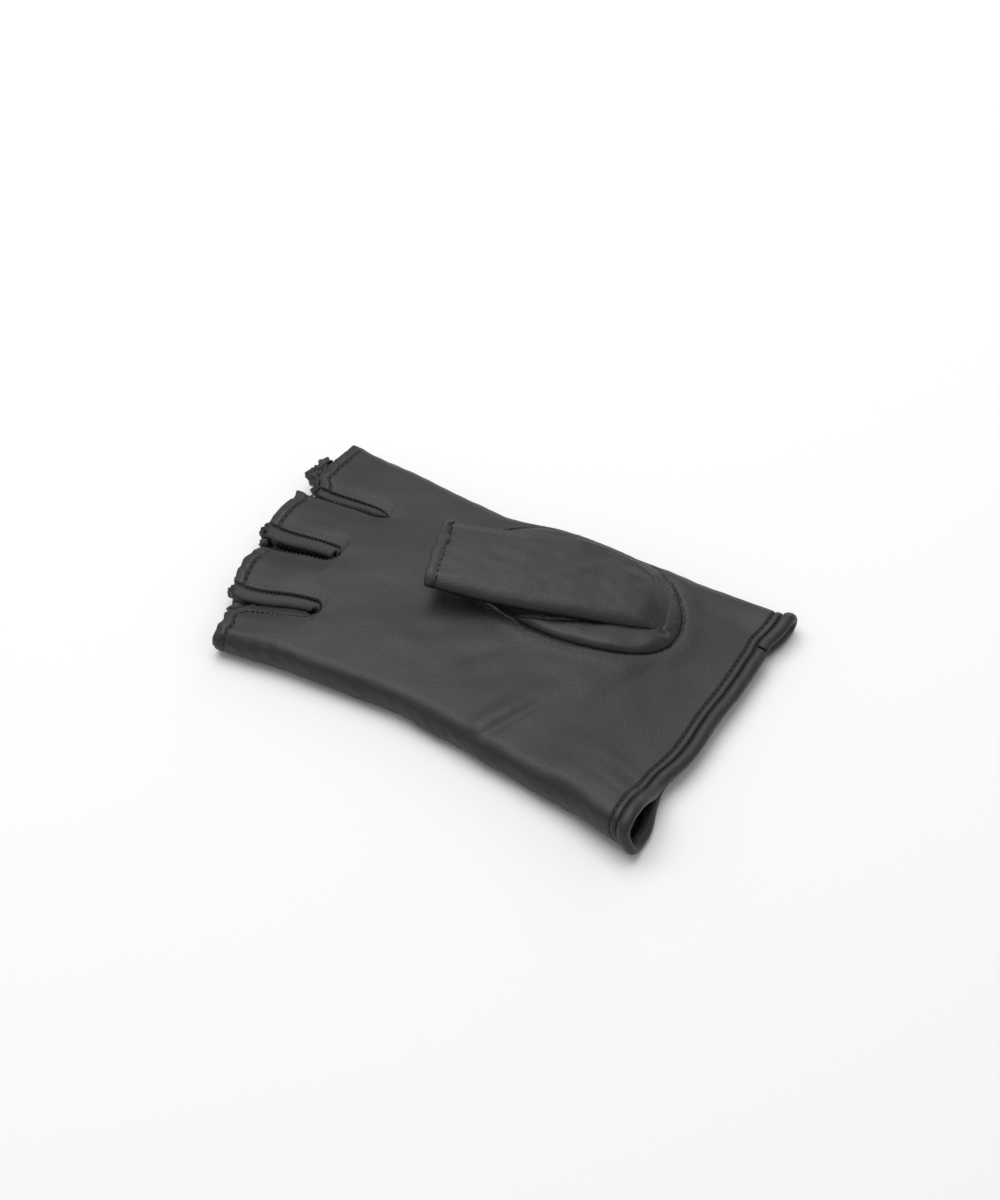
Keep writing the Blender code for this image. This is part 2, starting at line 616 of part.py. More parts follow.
def make_thumb(parent):
    """Thumb stall: a flattened tube, cut obliquely at its base, where the thumb comes up into it."""
    verts = []
    for share in np.linspace(0, 1, STALL_ROWS):
        for angle in STALL_ANGLES:
            start = THUMB_BASE + THUMB_MOUTH * smooth(-math.sin(angle) * 1.5 - 0.25)
            along = start + (THUMB_LENGTH - start) * share
            x, z = thumb_point(angle, along)
            verts.append((x, along, z))
    faces = grid_faces(STALL_ROWS, STALL_SIDES, closed=True)
    stall = add_object("thumb_stall", verts, faces, "nappa", parent)
    thicken(stall, LEATHER, -1)
    return stall


def thumb_threads(parent):
    """The stall's closing seam underneath, and the stitch row round its hem."""
    start = THUMB_BASE + THUMB_MOUTH + THUMB_HEIGHT_BASE
    points = []
    for along in np.linspace(start, THUMB_LENGTH - SEAM_SET_BACK, CLOSING_POINTS):
        far, near, _ = thumb_size(along)
        points.append(((far + near) / 2, along, -THREAD_RISE))
    thread("thumb_closing_stitch", points, parent=parent)
    along = THUMB_LENGTH - HEM_DEPTH
    ring = [thumb_point(angle, along, THREAD_RISE) for angle in STALL_ANGLES]
    thread("hem_stitch_thumb", [(x, along, z) for x, z in ring], closed=True, parent=parent)


def make_thumb_hinge():
    """Empty on the fold line that the folded thumb opens about."""
    hinge = bpy.data.objects.new("thumb_hinge", None)
    bpy.context.scene.collection.objects.link(hinge)
    place = Matrix.Translation((THUMB_HINGE_X, THUMB_HINGE_ALONG - HAND_Y, BODY_HEIGHT + THUMB_CLEARANCE))
    lean = Matrix.Rotation(THUMB_LEAN, 4, "Z")
    pitch = Matrix.Rotation(THUMB_PITCH, 4, "X")
    opened = Matrix.Rotation(THUMB_ANGLE, 4, "Y")
    hinge.matrix_world = place @ lean @ pitch @ opened
    return hinge


def main():
    for piece in list(bpy.data.objects):
        bpy.data.objects.remove(piece, do_unlink=True)
    make_trank()
    for number in range(len(GAPS)):
        make_fourchette(number)
        gap_seam(number, 0)
        gap_seam(number, 1)
    for number in range(len(FINGERS)):
        finger_hem(number)
    side_seam()
    make_binding()
    cuff_row("cuff_stitch_inner", BINDING_WIDTH + CUFF_ROW_INNER)
    cuff_row("cuff_stitch_outer", BINDING_WIDTH + CUFF_ROW_INNER + CUFF_ROW_PITCH)
    make_gusset()
    thumb_seam()
    hinge = make_thumb_hinge()
    make_thumb(hinge)
    thumb_threads(hinge)


if __name__ == "__main__":
    main()
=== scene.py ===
"""Looks of a right-hand fingerless glove in thin black leather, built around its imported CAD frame.

Lengths are metres in the row's frame: +Y from the cuff to the fingers, +X the index side, +Z out of the palm.
"along" is the distance from the trank's cuff edge towards the fingers.
"""
import json
import math

import bmesh
import bpy
import numpy as np
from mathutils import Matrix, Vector


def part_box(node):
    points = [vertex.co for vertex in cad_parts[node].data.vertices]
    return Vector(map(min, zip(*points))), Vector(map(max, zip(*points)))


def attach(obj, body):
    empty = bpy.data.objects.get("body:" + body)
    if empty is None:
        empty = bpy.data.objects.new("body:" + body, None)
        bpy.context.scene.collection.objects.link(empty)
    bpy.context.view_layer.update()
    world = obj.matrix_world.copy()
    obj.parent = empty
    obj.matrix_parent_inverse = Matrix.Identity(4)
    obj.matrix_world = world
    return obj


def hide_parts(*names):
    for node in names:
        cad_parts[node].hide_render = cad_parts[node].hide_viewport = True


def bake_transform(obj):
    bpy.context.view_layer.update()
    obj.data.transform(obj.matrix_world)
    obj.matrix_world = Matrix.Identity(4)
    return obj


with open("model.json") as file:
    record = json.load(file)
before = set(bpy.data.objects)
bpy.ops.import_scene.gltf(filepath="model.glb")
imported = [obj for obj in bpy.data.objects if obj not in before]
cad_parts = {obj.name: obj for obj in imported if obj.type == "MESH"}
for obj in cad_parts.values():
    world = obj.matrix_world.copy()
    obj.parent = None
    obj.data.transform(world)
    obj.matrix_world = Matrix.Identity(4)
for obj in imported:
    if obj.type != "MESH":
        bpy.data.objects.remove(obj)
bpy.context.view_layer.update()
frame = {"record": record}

bl_info = {
    "name": "Fingerless glove",
    "version": (1, 0, 0),
    "blender": (4, 5, 0),
    "location": "View3D > Sidebar > Glove",
    "description": "Sews a thin leather glove around its frame, with hems, seams, binding and stitches",
    "category": "Object",
}

MM = 0.001


# ---- places taken from the frame ----------------------------------------------------------------
def low(node):
    """Lowest corner of a frame node."""
    return np.array(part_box(node)[0])


def high(node):
    """Highest corner of a frame node."""
    return np.array(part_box(node)[1])


THREAD = 0.4 * MM                                    # the frame's laid stitch rows
ROW_RISE = 0.5 * MM                                  # their centres above the leather
CUFF_Y = low("trank")[1]                             # the leather's cuff edge
CUFF_HALF = high("trank")[0]                         # half of the leather's width there
PALM_TOP = low("thumb_setting_stitch")[2] - ROW_RISE + THREAD / 2     # palm's outside round the thumb
HEM = high("trank")[1] - high("hem_stitch_middle")[1] + THREAD / 2    # stitch row to a finger's end
FINGERS = ("little", "ring", "middle", "index")
ENDS = np.array([high("hem_stitch_" + finger)[1] + HEM - THREAD / 2 - CUFF_Y for finger in FINGERS])
ROLL = 0.7 * MM                                      # the soft edge rolls over, which draws the rows to it
CUFF_ROWS = [(low("cuff_stitch_" + row)[1] + THREAD / 2) - CUFF_Y - ROLL for row in ("inner", "outer")]
BINDING_END = high("cuff_binding")[1] - CUFF_Y - ROLL
HOLE = (low("thumb_gusset") + high("thumb_gusset")) / 2
HOLE_HALF = (high("thumb_gusset") - low("thumb_gusset")) / 2
OVAL_INDEX = HOLE_HALF[0] + 5.4 * MM                 # the setting seam's radii, to the index side,
OVAL_LITTLE = HOLE_HALF[0] + 0.2 * MM                # to the little side
OVAL_ALONG = HOLE_HALF[1] + 0.3 * MM                 # and along the glove
HINGE = next(joint for joint in frame["record"]["behaviour"]["joints"] if joint["name"] == "thumb_fold")
FOLD_POINT = np.array(HINGE["pos_m"])
FOLD_AXIS = np.array(HINGE["axis"])
FOLD_RUN = np.array([FOLD_AXIS[0], FOLD_AXIS[1], 0]) / math.hypot(FOLD_AXIS[0], FOLD_AXIS[1])
FOLD_SIDE = np.array([-FOLD_RUN[1], FOLD_RUN[0], 0])                  # level, from the fold over the palm
THUMB_END = 74.0 * MM                                # the stall's open end, along the fold

# Outline of the glove as it lies: (along, distance from the centre line), millimetres
INDEX_SIDE = ((0, 49.3), (8, 48.6), (21, 47.3), (34, 45.9), (48, 45.4), (61, 45.5), (74, 44.3), (81, 42.5),
              (88, 41.1), (100, 41.6), (115, 42.6), (130, 43.7), (147, 45.1))
LITTLE_SIDE = ((0, 50.2), (6, 49.4), (16, 46.8), (29, 44.8), (43, 43.2), (57, 41.6), (70, 40.2),
               (83, 40.0), (95, 40.8), (108, 41.9), (120, 43.1), (135, 45.6))
DRAWN_HALF = 47.8 * MM                               # half of the cuff's width that the outline was drawn at

# Gaps between the fingers, in the order of FINGERS: the root's place along the glove, then the x of the root,
# of the little side and of the index side at the open end, the length over which the root rounds out, and the
# root's width as a share of the open end's
GAPS = (
    (0.1137, -0.0228, -0.0350, -0.0230, 0.0040, 0.72),
    (0.1215, -0.0010, -0.0084, 0.0020, 0.0026, 0.80),
    (0.1185, 0.0206, 0.0165, 0.0228, 0.0050, 0.72),
)
# for each gap, the leather edge's curl radius and how far it sinks, on its little side and its index side
CURLS = (((0.5, 0.4), (0.8, 0.5)), ((1.5, 1.1), (0.8, 0.5)), ((1.2, 0.8), (0.7, 0.4)))
CURL_ANGLES = np.radians([18, 36, 56, 78, 100])
SEAM_TURN = math.radians(236)                        # where on the little edge's circle the side seam lies
SEAM_STITCHES = SEAM_TURN + 0.14                     # the stitches lie a little nearer the table

# Mesh rows in millimetres: steps about a stitch row and a gap's root, and the last ones before a finger's end
ROW_STEPS = (-0.9, -0.6, -0.36, -0.15, 0.15, 0.36, 0.6, 0.9)
ROOT_STEPS = (-2.6, -2, -1.5, -1, -0.6, -0.25, 0, 0.08, 0.25, 0.5, 0.85, 1.3, 1.9)
LAST_STEPS = (1.5, 1.0, 0.6, 0.25, 0)
ROW_SPACING = 1.05 * MM
SHARED_END = 0.1214                                  # rows are the same on all fingers up to here
STRIP_COLUMNS = (11, 18, 18, 22)                     # of the little, ring, middle and index strips
EDGE_COLUMNS = 18                                    # of a quarter of a round side edge


# ---- curves and noise ---------------------------------------------------------------------------
def smooth(value):
    """Ease from 0 to 1 as value goes from 0 to 1."""
    t = np.clip(value, 0.0, 1.0)
    return t * t * (3 - 2 * t)


def bell(distance, width):
    """Bell curve of a distance, 1 at 0 and small past the width."""
    return np.exp(-(distance / width) ** 2)


def rise(value, start, length):
    """Ease from 0 to 1 while value goes on from start by a length, both in millimetres."""
    return smooth((value - start * MM) / (length * MM))


def run_lengths(path):
    """Distance gone along a path at each of its points."""
    return np.append(0, np.cumsum(np.linalg.norm(np.diff(path, axis=0), axis=1)))


def through(x, points, unit=MM):
    """Smooth curve through (x, y) points: cubic pieces with the mean slope of their neighbours."""
    px, py = (np.array(column, dtype=float) * unit for column in zip(*points))
    slope = np.gradient(py, px)
    x = np.clip(x, px[0], px[-1])
    k = np.clip(np.searchsorted(px, x) - 1, 0, len(px) - 2)
    h = px[k + 1] - px[k]
    t = (x - px[k]) / h
    return ((1 + 2 * t) * (1 - t) ** 2 * py[k] + t * (1 - t) ** 2 * h * slope[k]
            + t * t * (3 - 2 * t) * py[k + 1] + t * t * (t - 1) * h * slope[k + 1])


def ripple(x, y, size, seed):
    """Soft seeded noise in about -1..1: sine waves of about one length, added up in several directions."""
    waves = 9
    draw = np.random.default_rng(seed)
    turn = draw.uniform(0, 2 * math.pi, waves)
    start = draw.uniform(0, 2 * math.pi, waves)
    rate = 2 * math.pi / size * draw.uniform(0.7, 1.4, waves)
    total = np.zeros(np.broadcast(x, y).shape)
    for k in range(waves):
        total = total + np.sin((x * math.cos(turn[k]) + y * math.sin(turn[k])) * rate[k] + start[k])
    return total / math.sqrt(waves)


# ---- the glove's flattened tube -----------------------------------------------------------------
def side_edge(along, points):
    """Distance of a side edge from the centre line, scaled to the frame's cuff width."""
    return through(along, points) * CUFF_HALF / DRAWN_HALF


def back_height(along, to_end):
    """z of the back's outside: raised under the binding and at the finger ends, else on the table."""
    cuff = 1 - rise(along, 5, 16)
    end = 1 - rise(to_end, 0, 14)
    return 1.35 * MM * cuff + 0.8 * MM * end


def palm_height(along, across, to_end):
    """z of the palm's outside; across runs from 0 at the little edge to 1 at the index edge.

    The body is one height. Towards the cuff it sinks to a flat mouth, with an open roll in the
    little side's corner and a small one in the index side's. It sinks a little at the finger ends.
    """
    near = 1 - rise(along, 2, 38)
    corner = 7.6 * MM * (1 - smooth((across - 0.03) / 0.19)) ** 1.3
    mouth = 5.6 * MM + corner + 1.4 * MM * smooth((across - 0.9) / 0.1)
    end = 1 - rise(to_end, 0, 20)
    crown = 0.5 * MM * np.sin(math.pi * np.clip(across, 0, 1)) * smooth(along / 0.05)
    body = PALM_TOP - 1.3 * MM * end + crown
    return body * (1 - near) + mouth * near


def gap_sides(number, along):
    """x of a gap's little side and index side: a round root that opens and then widens to the end."""
    root, root_x, low_x, high_x, rounding, share = GAPS[number]
    past = np.maximum(along - root, 0)
    opened = np.sqrt(np.maximum(0, 1 - (1 - np.minimum(past / rounding, 1)) ** 2))
    width = (share + (1 - share) * past / (ENDS[2] - root)) * opened
    middle = root_x + ((low_x + high_x) / 2 - root_x) * smooth(past / (ENDS[2] - root) * 1.2)
    half = (high_x - low_x) / 2 * width
    return middle - half, middle + half


def gap_drop(number, hand, along, distance, width):
    """How far a finger's leather has curved in at a distance from a gap's little (1) or index side (-1)."""
    drop = CURLS[number][0 if hand > 0 else 1][1] * MM
    root = (CURLS[number][0][1] + CURLS[number][1][1]) * 0.3 * MM
    fade = rise(along - GAPS[number][0], -6, 6.5)
    past = smooth((along - GAPS[number][0]) / (6 * MM))
    reach = np.minimum((2.5 + 4 * drop / MM) * MM, width)
    return (root + (drop - root) * past) * fade * (1 - smooth(distance / reach))


def oval_distance(x, along):
    """Distance outside the thumb's setting seam, an ellipse that is wider on the index side."""
    radius = np.where(x > HOLE[0], OVAL_INDEX, OVAL_LITTLE)
    u = (x - HOLE[0]) / radius
    v = (along - (HOLE[1] - CUFF_Y)) / OVAL_ALONG
    size = np.sqrt(u * u + v * v) + 1e-9
    steep = np.sqrt((u / radius) ** 2 + (v / HOLE_HALF[1]) ** 2) / size
    return (size - 1) / steep


def crease(x, along, start, end, height, width):
    """Narrow valley between a high ridge on its finger side and a low one on its cuff side.

    It runs between two points (x, along) in millimetres and fades out, most of all past the second.
    """
    start, end = np.array(start) * MM, np.array(end) * MM
    run = end - start
    length = np.linalg.norm(run)
    run = run / length
    t = ((x - start[0]) * run[0] + (along - start[1]) * run[1]) / length
    off = -(x - start[0]) * run[1] + (along - start[1]) * run[0]
    fade = smooth((t + 0.2) / 0.3) * (1 - smooth((t - 0.35) / 0.8))
    side = off if run[0] > 0 else -off
    return height * fade * (bell(side - width, width) + 0.35 * bell(side + 1.2 * width, width)
                            - 0.75 * bell(side, 0.35 * width))


def palm_relief(x, along, to_end):
    """How far the palm's leather stands out, sunk under the thumb's seam to leave room for the base's rim."""
    e = oval_distance(x, along)
    return palm_folds(x, along, to_end) - 0.9 * MM * (1 - rise(e, -0.3, 0.9))


def palm_folds(x, along, to_end):
    """Soft folds and hollows of the palm's leather, with its stitch rows."""
    e = oval_distance(x, along)
    out = 0.22 * MM * ripple(x, along, 36 * MM, 3) + 0.07 * MM * ripple(x, along, 12 * MM, 4)
    out = out + crease(x, along, (-39.0, 49.2), (-14.0, 38.6), 0.8 * MM, 3.4 * MM)
    out = out + crease(x, along, (-8, 62), (-26, 74), 0.22 * MM, 4.5 * MM)
    out = out + crease(x, along, (10, 22), (-14, 30), 0.22 * MM, 4.5 * MM)
    out = out + 0.3 * MM * bell(e - 3.0 * MM, 2.2 * MM)
    for gap in GAPS:
        reach = np.hypot((x - gap[1]) * 0.8, along - gap[0] + 3 * MM)
        out = out - 0.25 * MM * bell(reach, 7 * MM)
    return out + row_relief(x, along, to_end)


def back_relief(x, along, to_end):
    """How far the back's leather stands out: it lies on the table, so its folds are only ever drawn in."""
    out = 0.25 * MM * (ripple(x, along, 30 * MM, 8) - 1) * rise(to_end, 0, 20)
    return np.minimum(out, 0) + row_relief(x, along, to_end) * 0.6


def row_relief(x, along, to_end):
    """Grooves that the stitch rows pull into the leather, at the cuff and round the finger hems."""
    out = 0.0
    for row in CUFF_ROWS:
        out = out - 0.62 * MM * bell(along - row, 0.27 * MM)
    out = out + 0.28 * MM * bell(along - sum(CUFF_ROWS) / 2, 0.8 * MM)
    out = out - 0.45 * MM * bell(to_end - HEM, 0.34 * MM) + 0.25 * MM * bell(to_end - HEM / 2, 0.9 * MM)
    lumps = ripple(x, along * 0, 5.0 * MM, 6) + 0.6 * ripple(x, along * 0, 2.4 * MM, 7)
    return out + 0.26 * MM * lumps * bell(to_end, 1.9 * MM)


def edge_relief(turn, along, to_end):
    """Small upright puckers and soft folds on the rolled side edges."""
    puckers = 0.10 * MM * ripple(turn * 6 * MM, along, 5 * MM, 11)
    folds = 0.22 * MM * ripple(turn * 8 * MM, along, 24 * MM, 12)
    return puckers + folds + row_relief(turn * 6 * MM, along, to_end)


def rows_along():
    """Distances along the glove of the mesh rows, a column for each finger, close at seams and roots."""
    shared = [0.0, 0.5 * MM, 1.2 * MM, 2.0 * MM]
    shared += list(np.arange(CUFF_ROWS[1] + 1.6 * MM, SHARED_END, ROW_SPACING))
    for row in CUFF_ROWS:
        shared += [row + step * MM for step in ROW_STEPS]
    for gap in GAPS:
        shared += [gap[0] + step * MM for step in ROOT_STEPS]
    shared = np.array(sorted(shared))
    shared = shared[np.append(True, np.diff(shared) > 0.04 * MM)]
    near_end = np.array([HEM + step * MM for step in ROW_STEPS[::-1]] + [step * MM for step in LAST_STEPS])
    share = np.linspace(0, 1, 17)[1:]
    tips = shared[-1] + (ENDS[None, :] - near_end[0] - 0.6 * MM - shared[-1]) * share[:, None]
    return np.vstack([np.repeat(shared[:, None], len(ENDS), axis=1), tips, ENDS[None, :] - near_end[:, None]])


def flat_span(along, to_end):
    """The back's height, the x of the middles of both side edges' circles, and the circles' radii."""
    back = back_height(along, to_end)
    left_r = (palm_height(along, 0.0, to_end) - back) / 2
    right_r = (palm_height(along, 1.0, to_end) - back) / 2
    left, right = left_r - side_edge(along, LITTLE_SIDE), side_edge(along, INDEX_SIDE) - right_r
    return back, left, right, left_r, right_r


def edge_turn(x, middle, radius, angles, along, to_end):
    """Round side edge: circle points about (x, middle), pushed out by its puckers."""
    aim_x, aim_z = np.cos(angles)[None, :], np.sin(angles)[None, :]
    x, middle, radius, along, to_end = (values[:, None] for values in (x, middle, radius, along, to_end))
    calm = aim_x ** 2
    push = edge_relief(angles[None, :], along, to_end) * calm
    top = palm_relief(x + radius * aim_x, along, to_end)
    push = push + top * np.maximum(aim_z, 0) ** 2 * (1 - calm)
    under = back_relief(x + radius * aim_x, along, to_end)
    push = push + under * np.maximum(-aim_z, 0) ** 2 * (1 - calm)
    reach = radius + push
    size = reach.shape
    points = np.stack([x + reach * aim_x, np.broadcast_to(along, size), middle + reach * aim_z], axis=2)
    aims = np.stack([np.broadcast_to(aim_x, size), np.zeros(size), np.broadcast_to(aim_z, size)], axis=2)
    return points, aims


def strip_sheet(number, side, along, columns):
    """One finger's strip of palm (side 1) or back (side -1), with its edges curled in along the gaps.

    The flat part runs from edge to edge. Past an edge that faces a gap, the leather follows a round curl
    square to the gap's outline, so that it also wraps the gap's root.
    """
    to_end = ENDS[number] - along
    back, left, right, _, _ = flat_span(along, to_end)
    lows = gap_sides(number - 1, along) if number > 0 else None
    highs = gap_sides(number, along) if number < 3 else None
    start = left if number == 0 else lows[1]
    stop = right if number == 3 else highs[0]
    share = np.linspace(0, 1, columns + 1)[None, :]
    x = start[:, None] + (stop - start)[:, None] * share
    width = (stop - start)[:, None]
    drop = np.zeros(x.shape)
    if number > 0:
        drop = np.maximum(drop, gap_drop(number - 1, -1, along[:, None], x - start[:, None], width))
    if number < 3:
        drop = np.maximum(drop, gap_drop(number, 1, along[:, None], stop[:, None] - x, width))
    across = (x - left[:, None]) / (right - left)[:, None]
    rows, ends = along[:, None], to_end[:, None]
    if side > 0:
        z = palm_height(rows, across, ends) - drop + palm_relief(x, rows, ends)
    else:
        z = back[:, None] + drop - back_relief(x, rows, ends)
    points = np.stack([x, np.broadcast_to(rows, x.shape), z], axis=2)
    aims = np.zeros(points.shape)
    aims[:, :, 2] = side
    for hand, gap in ((1, number), (-1, number - 1)):
        if 0 <= gap < 3:
            points, aims = add_curl(points, aims, hand, gap, side, along)
    return points, aims


def gap_outward(gap, hand, along):
    """Level direction into a gap from its little side (hand 1) or its index side (hand -1)."""
    step = 0.05 * MM
    pick = 0 if hand > 0 else 1
    slope = (gap_sides(gap, along + step)[pick] - gap_sides(gap, along)[pick]) / step
    return hand / np.sqrt(1 + slope ** 2), -hand * slope / np.sqrt(1 + slope ** 2)


def add_curl(points, aims, hand, gap, side, along):
    """Columns past a strip's edge that turn down into the gap, a little over a quarter circle."""
    own = CURLS[gap][0 if hand > 0 else 1][0] * MM
    root = (CURLS[gap][0][0] + CURLS[gap][1][0]) / 2 * MM
    past = along - GAPS[gap][0]
    radius = (root + (own - root) * rise(past, 0, 6)) * rise(past, -0.02, 0.3)
    out_x, out_y = gap_outward(gap, hand, along)
    sine, cosine = np.sin(CURL_ANGLES)[None, :], np.cos(CURL_ANGLES)[None, :]
    edge = points[:, -1 if hand > 0 else 0]
    reach = radius[:, None] * sine
    curl = np.stack([edge[:, None, 0] + reach * out_x[:, None], edge[:, None, 1] + reach * out_y[:, None],
                     edge[:, None, 2] - side * radius[:, None] * (1 - cosine)], axis=2)
    level = side * np.broadcast_to(cosine, reach.shape)
    aim = np.stack([sine * out_x[:, None], sine * out_y[:, None], level], axis=2)
    if hand > 0:
        return np.concatenate([points, curl], axis=1), np.concatenate([aims, aim], axis=1)
    return np.concatenate([curl[:, ::-1], points], axis=1), np.concatenate([aim[:, ::-1], aims], axis=1)


def trank_sheets(rows, fine=1.0):
    """Sheets round the glove, from the side seam over the palm to the index edge and back under it."""
    counts = [int(round(count * fine)) for count in STRIP_COLUMNS]
    little, index = rows[:, 0], rows[:, 3]
    back, left, _, left_r, _ = flat_span(little, ENDS[0] - little)
    back_i, _, right, _, right_r = flat_span(index, ENDS[3] - index)
    arc = int(EDGE_COLUMNS * fine)
    upper = np.linspace(SEAM_TURN, math.pi / 2, arc + 6)
    lower = np.linspace(math.pi * 1.5, SEAM_TURN, arc // 2 + 2)
    across = np.linspace(math.pi / 2, -math.pi / 2, 2 * arc)
    sheets = [edge_turn(left, back + left_r, left_r, upper, little, ENDS[0] - little)]
    sheets += [strip_sheet(k, 1, rows[:, k], counts[k]) for k in range(4)]
    sheets.append(edge_turn(right, back_i + right_r, right_r, across, index, ENDS[3] - index))
    for k in (3, 2, 1, 0):
        points, aims = strip_sheet(k, -1, rows[:, k], counts[k] // 2)
        sheets.append((points[:, ::-1], aims[:, ::-1]))
    sheets.append(edge_turn(left, back + left_r, left_r, lower, little, ENDS[0] - little))
    return sheets


def add_turn_in(points, aims, depth, leather):
    """Rows past a sheet's last row that fold the leather inwards and back under itself.

    The fold is a half circle as thick as two layers; after it the inner layer runs back by the depth.
    """
    radius = leather * 1.02
    angles = np.radians([25, 55, 90, 125, 155, 180])
    lift = list(radius * (np.cos(angles) - 1)) + [-2.05 * radius, -2.05 * radius]
    reach = list(radius * np.sin(angles) * 1.1) + [-depth * 0.5, -depth]
    last, aim = points[-1], aims[-1]
    more = np.array([last + aim * a + np.array([0, b, 0]) for a, b in zip(lift, reach)])
    return np.concatenate([points, more]), np.concatenate([aims, np.repeat(aim[None], len(lift), axis=0)])


# ---- meshes -------------------------------------------------------------------------------------
def grid_quads(rows, columns, closed=False, flip=False, first=0):
    """Quads of a rows x columns grid as an array of corner numbers."""
    r, c = np.meshgrid(np.arange(rows - 1), np.arange(columns if closed else columns - 1), indexing="ij")
    ahead = (c + 1) % columns
    quads = np.stack([r * columns + c, r * columns + ahead, (r + 1) * columns + ahead, (r + 1) * columns + c],
                     axis=2).reshape(-1, 4) + first
    return quads[:, ::-1] if flip else quads


def mesh_object(name, verts, faces, materials, weld=0.0, outward=False):
    """Smooth mesh object at the origin, from whole arrays.

    weld merges vertices that are closer than it, and outward turns closed parts' faces outwards.
    """
    mesh = bpy.data.meshes.new(name)
    mesh.from_pydata(np.asarray(verts).reshape(-1, 3).tolist(), [], [list(map(int, face)) for face in faces])
    if weld or outward:
        shape = bmesh.new()
        shape.from_mesh(mesh)
        if weld:
            bmesh.ops.remove_doubles(shape, verts=shape.verts, dist=weld)
            bmesh.ops.dissolve_degenerate(shape, edges=shape.edges, dist=weld)
        if outward:
            bmesh.ops.recalc_face_normals(shape, faces=shape.faces)
        shape.to_mesh(mesh)
        shape.free()
    mesh.shade_smooth()
    made = bpy.data.objects.new(name, mesh)
    bpy.context.scene.collection.objects.link(made)
    for material in materials:
        mesh.materials.append(material)
    return made


def to_row(points):
    """Moves points from distances along the glove to the row's frame.

    On the way the cuff is pulled out at its little corner and a little at the other, and its edge and rows
    run in a slight wave. The finger ends slant or stand out a little, and the hems' ends run unevenly.
    """
    moved = np.array(points, dtype=float)
    x, along, z = moved[..., 0], moved[..., 1], moved[..., 2]
    cuff = 1 - rise(along, 0, 22)
    low_side = 1 - rise(z, 3, 8)
    shift = -cuff * MM * (3.2 * rise(-x, 29, 13) * (0.25 + 0.75 * low_side)
                          + 2.0 * rise(x, 32, 12) - 1.2 * bell(x + 24 * MM, 6 * MM))
    shift = shift + 0.28 * MM * ripple(x, 0 * x, 26 * MM, 21) * cuff
    below = 1 - rise(z, 2.0, 1.6)
    middle = rise(x, -30, 10) * (1 - rise(x, 30, 7))
    shift = shift + cuff * middle * (2.0 * below - 1.1) * MM
    tip = smooth((along - 0.112) / 0.022)
    little = 1.3 * MM * rise(-x, 31, 4) - 0.16 * np.maximum(-x - 36 * MM, 0)
    ring = 0.2 * np.clip(-x - 17 * MM, 0, 12 * MM) * (1 - rise(-x, 28, 4))
    inner = 0.7 * MM * bell(x + 12 * MM, 9 * MM)
    index = 2.2 * MM * rise(x, 23, 3)
    shift = shift + tip * (little - ring + inner + index - 0.12 * np.maximum(x - 34 * MM, 0))
    fringe = rise(along - ENDS[0], -12, 8)
    shift = shift + 0.22 * MM * fringe * (ripple(x, z * 0.6, 5.5 * MM, 22) + 0.6 * ripple(x, z, 2.6 * MM, 23))
    moved[..., 1] = along + shift + CUFF_Y
    return moved


def thicken(made, thickness, inside=1):
    """Leather thickness grown behind the faces, with its own material for the rough inside."""
    solid = made.modifiers.new("leather", "SOLIDIFY")
    solid.thickness = thickness
    solid.offset = -1
    solid.use_even_offset = False
    solid.material_offset = inside
    solid.material_offset_rim = 0


# ---- stitches -----------------------------------------------------------------------------------
def stitch_row(name, path, aims, pitch, length, width, closed, material):
    """A row of sewn stitches: each is a small arched capsule that dips into the leather at both ends.

    Places are steps of one pitch along the path's length. A capsule is rings of six points whose radius
    follows a round profile, laid along the path, with its middle highest.
    """
    path, aims = np.asarray(path, float), np.asarray(aims, float)
    if closed:
        path, aims = np.vstack([path, path[:1]]), np.vstack([aims, aims[:1]])
    gone = run_lengths(path)
    count = max(2, int(gone[-1] / pitch))
    middles = (np.arange(count) + 0.5) * gone[-1] / count

    def at(values, where):
        return np.stack([np.interp(where, gone, values[:, k]) for k in range(3)], axis=1)

    run = at(path, np.minimum(middles + length / 2, gone[-1])) - at(path, np.maximum(middles - length / 2, 0))
    run /= np.linalg.norm(run, axis=1, keepdims=True)
    up = at(aims, middles)
    up -= run * (up * run).sum(axis=1, keepdims=True)
    up /= np.linalg.norm(up, axis=1, keepdims=True)
    side = np.cross(run, up)
    rings = np.array([-1.0, -0.82, -0.4, 0.0, 0.4, 0.82, 1.0])
    radii = width / 2 * np.array([0.35, 0.8, 1.0, 1.0, 1.0, 0.8, 0.35])
    place, angle = rings[:, None], (np.arange(6) * math.pi / 3)[None, :]
    ahead = place * length / 2 + 0 * angle
    beside = radii[:, None] * np.cos(angle)
    above = radii[:, None] * np.sin(angle) + width * 0.28 * (1 - 2.4 * place ** 2)
    step = (run[:, None, None] * ahead[None, :, :, None] + side[:, None, None] * beside[None, :, :, None]
            + up[:, None, None] * above[None, :, :, None])
    verts = (at(path, middles)[:, None, None] + step).reshape(-1, 3)
    tube = grid_quads(len(rings), 6, closed=True)
    per = len(rings) * 6
    faces = [face for first in range(0, count * per, per) for face in (tube + first).tolist()]
    caps = [[first + k for k in range(5, -1, -1)] for first in range(0, count * per, per)]
    caps += [[first + per - 6 + k for k in range(6)] for first in range(0, count * per, per)]
    return mesh_object(name, to_row(verts), faces + caps, [material], outward=True)


# ---- materials ----------------------------------------------------------------------------------
def add_node(tree, kind, inputs, **settings):
    """New shader node; inputs gives sockets their values, or the outputs that feed them."""
    made = tree.nodes.new("ShaderNode" + kind)
    for name, value in settings.items():
        setattr(made, name, value)
    for socket, value in inputs.items():
        if isinstance(value, bpy.types.NodeSocket):
            tree.links.new(value, made.inputs[socket])
        else:
            made.inputs[socket].default_value = value
    return made


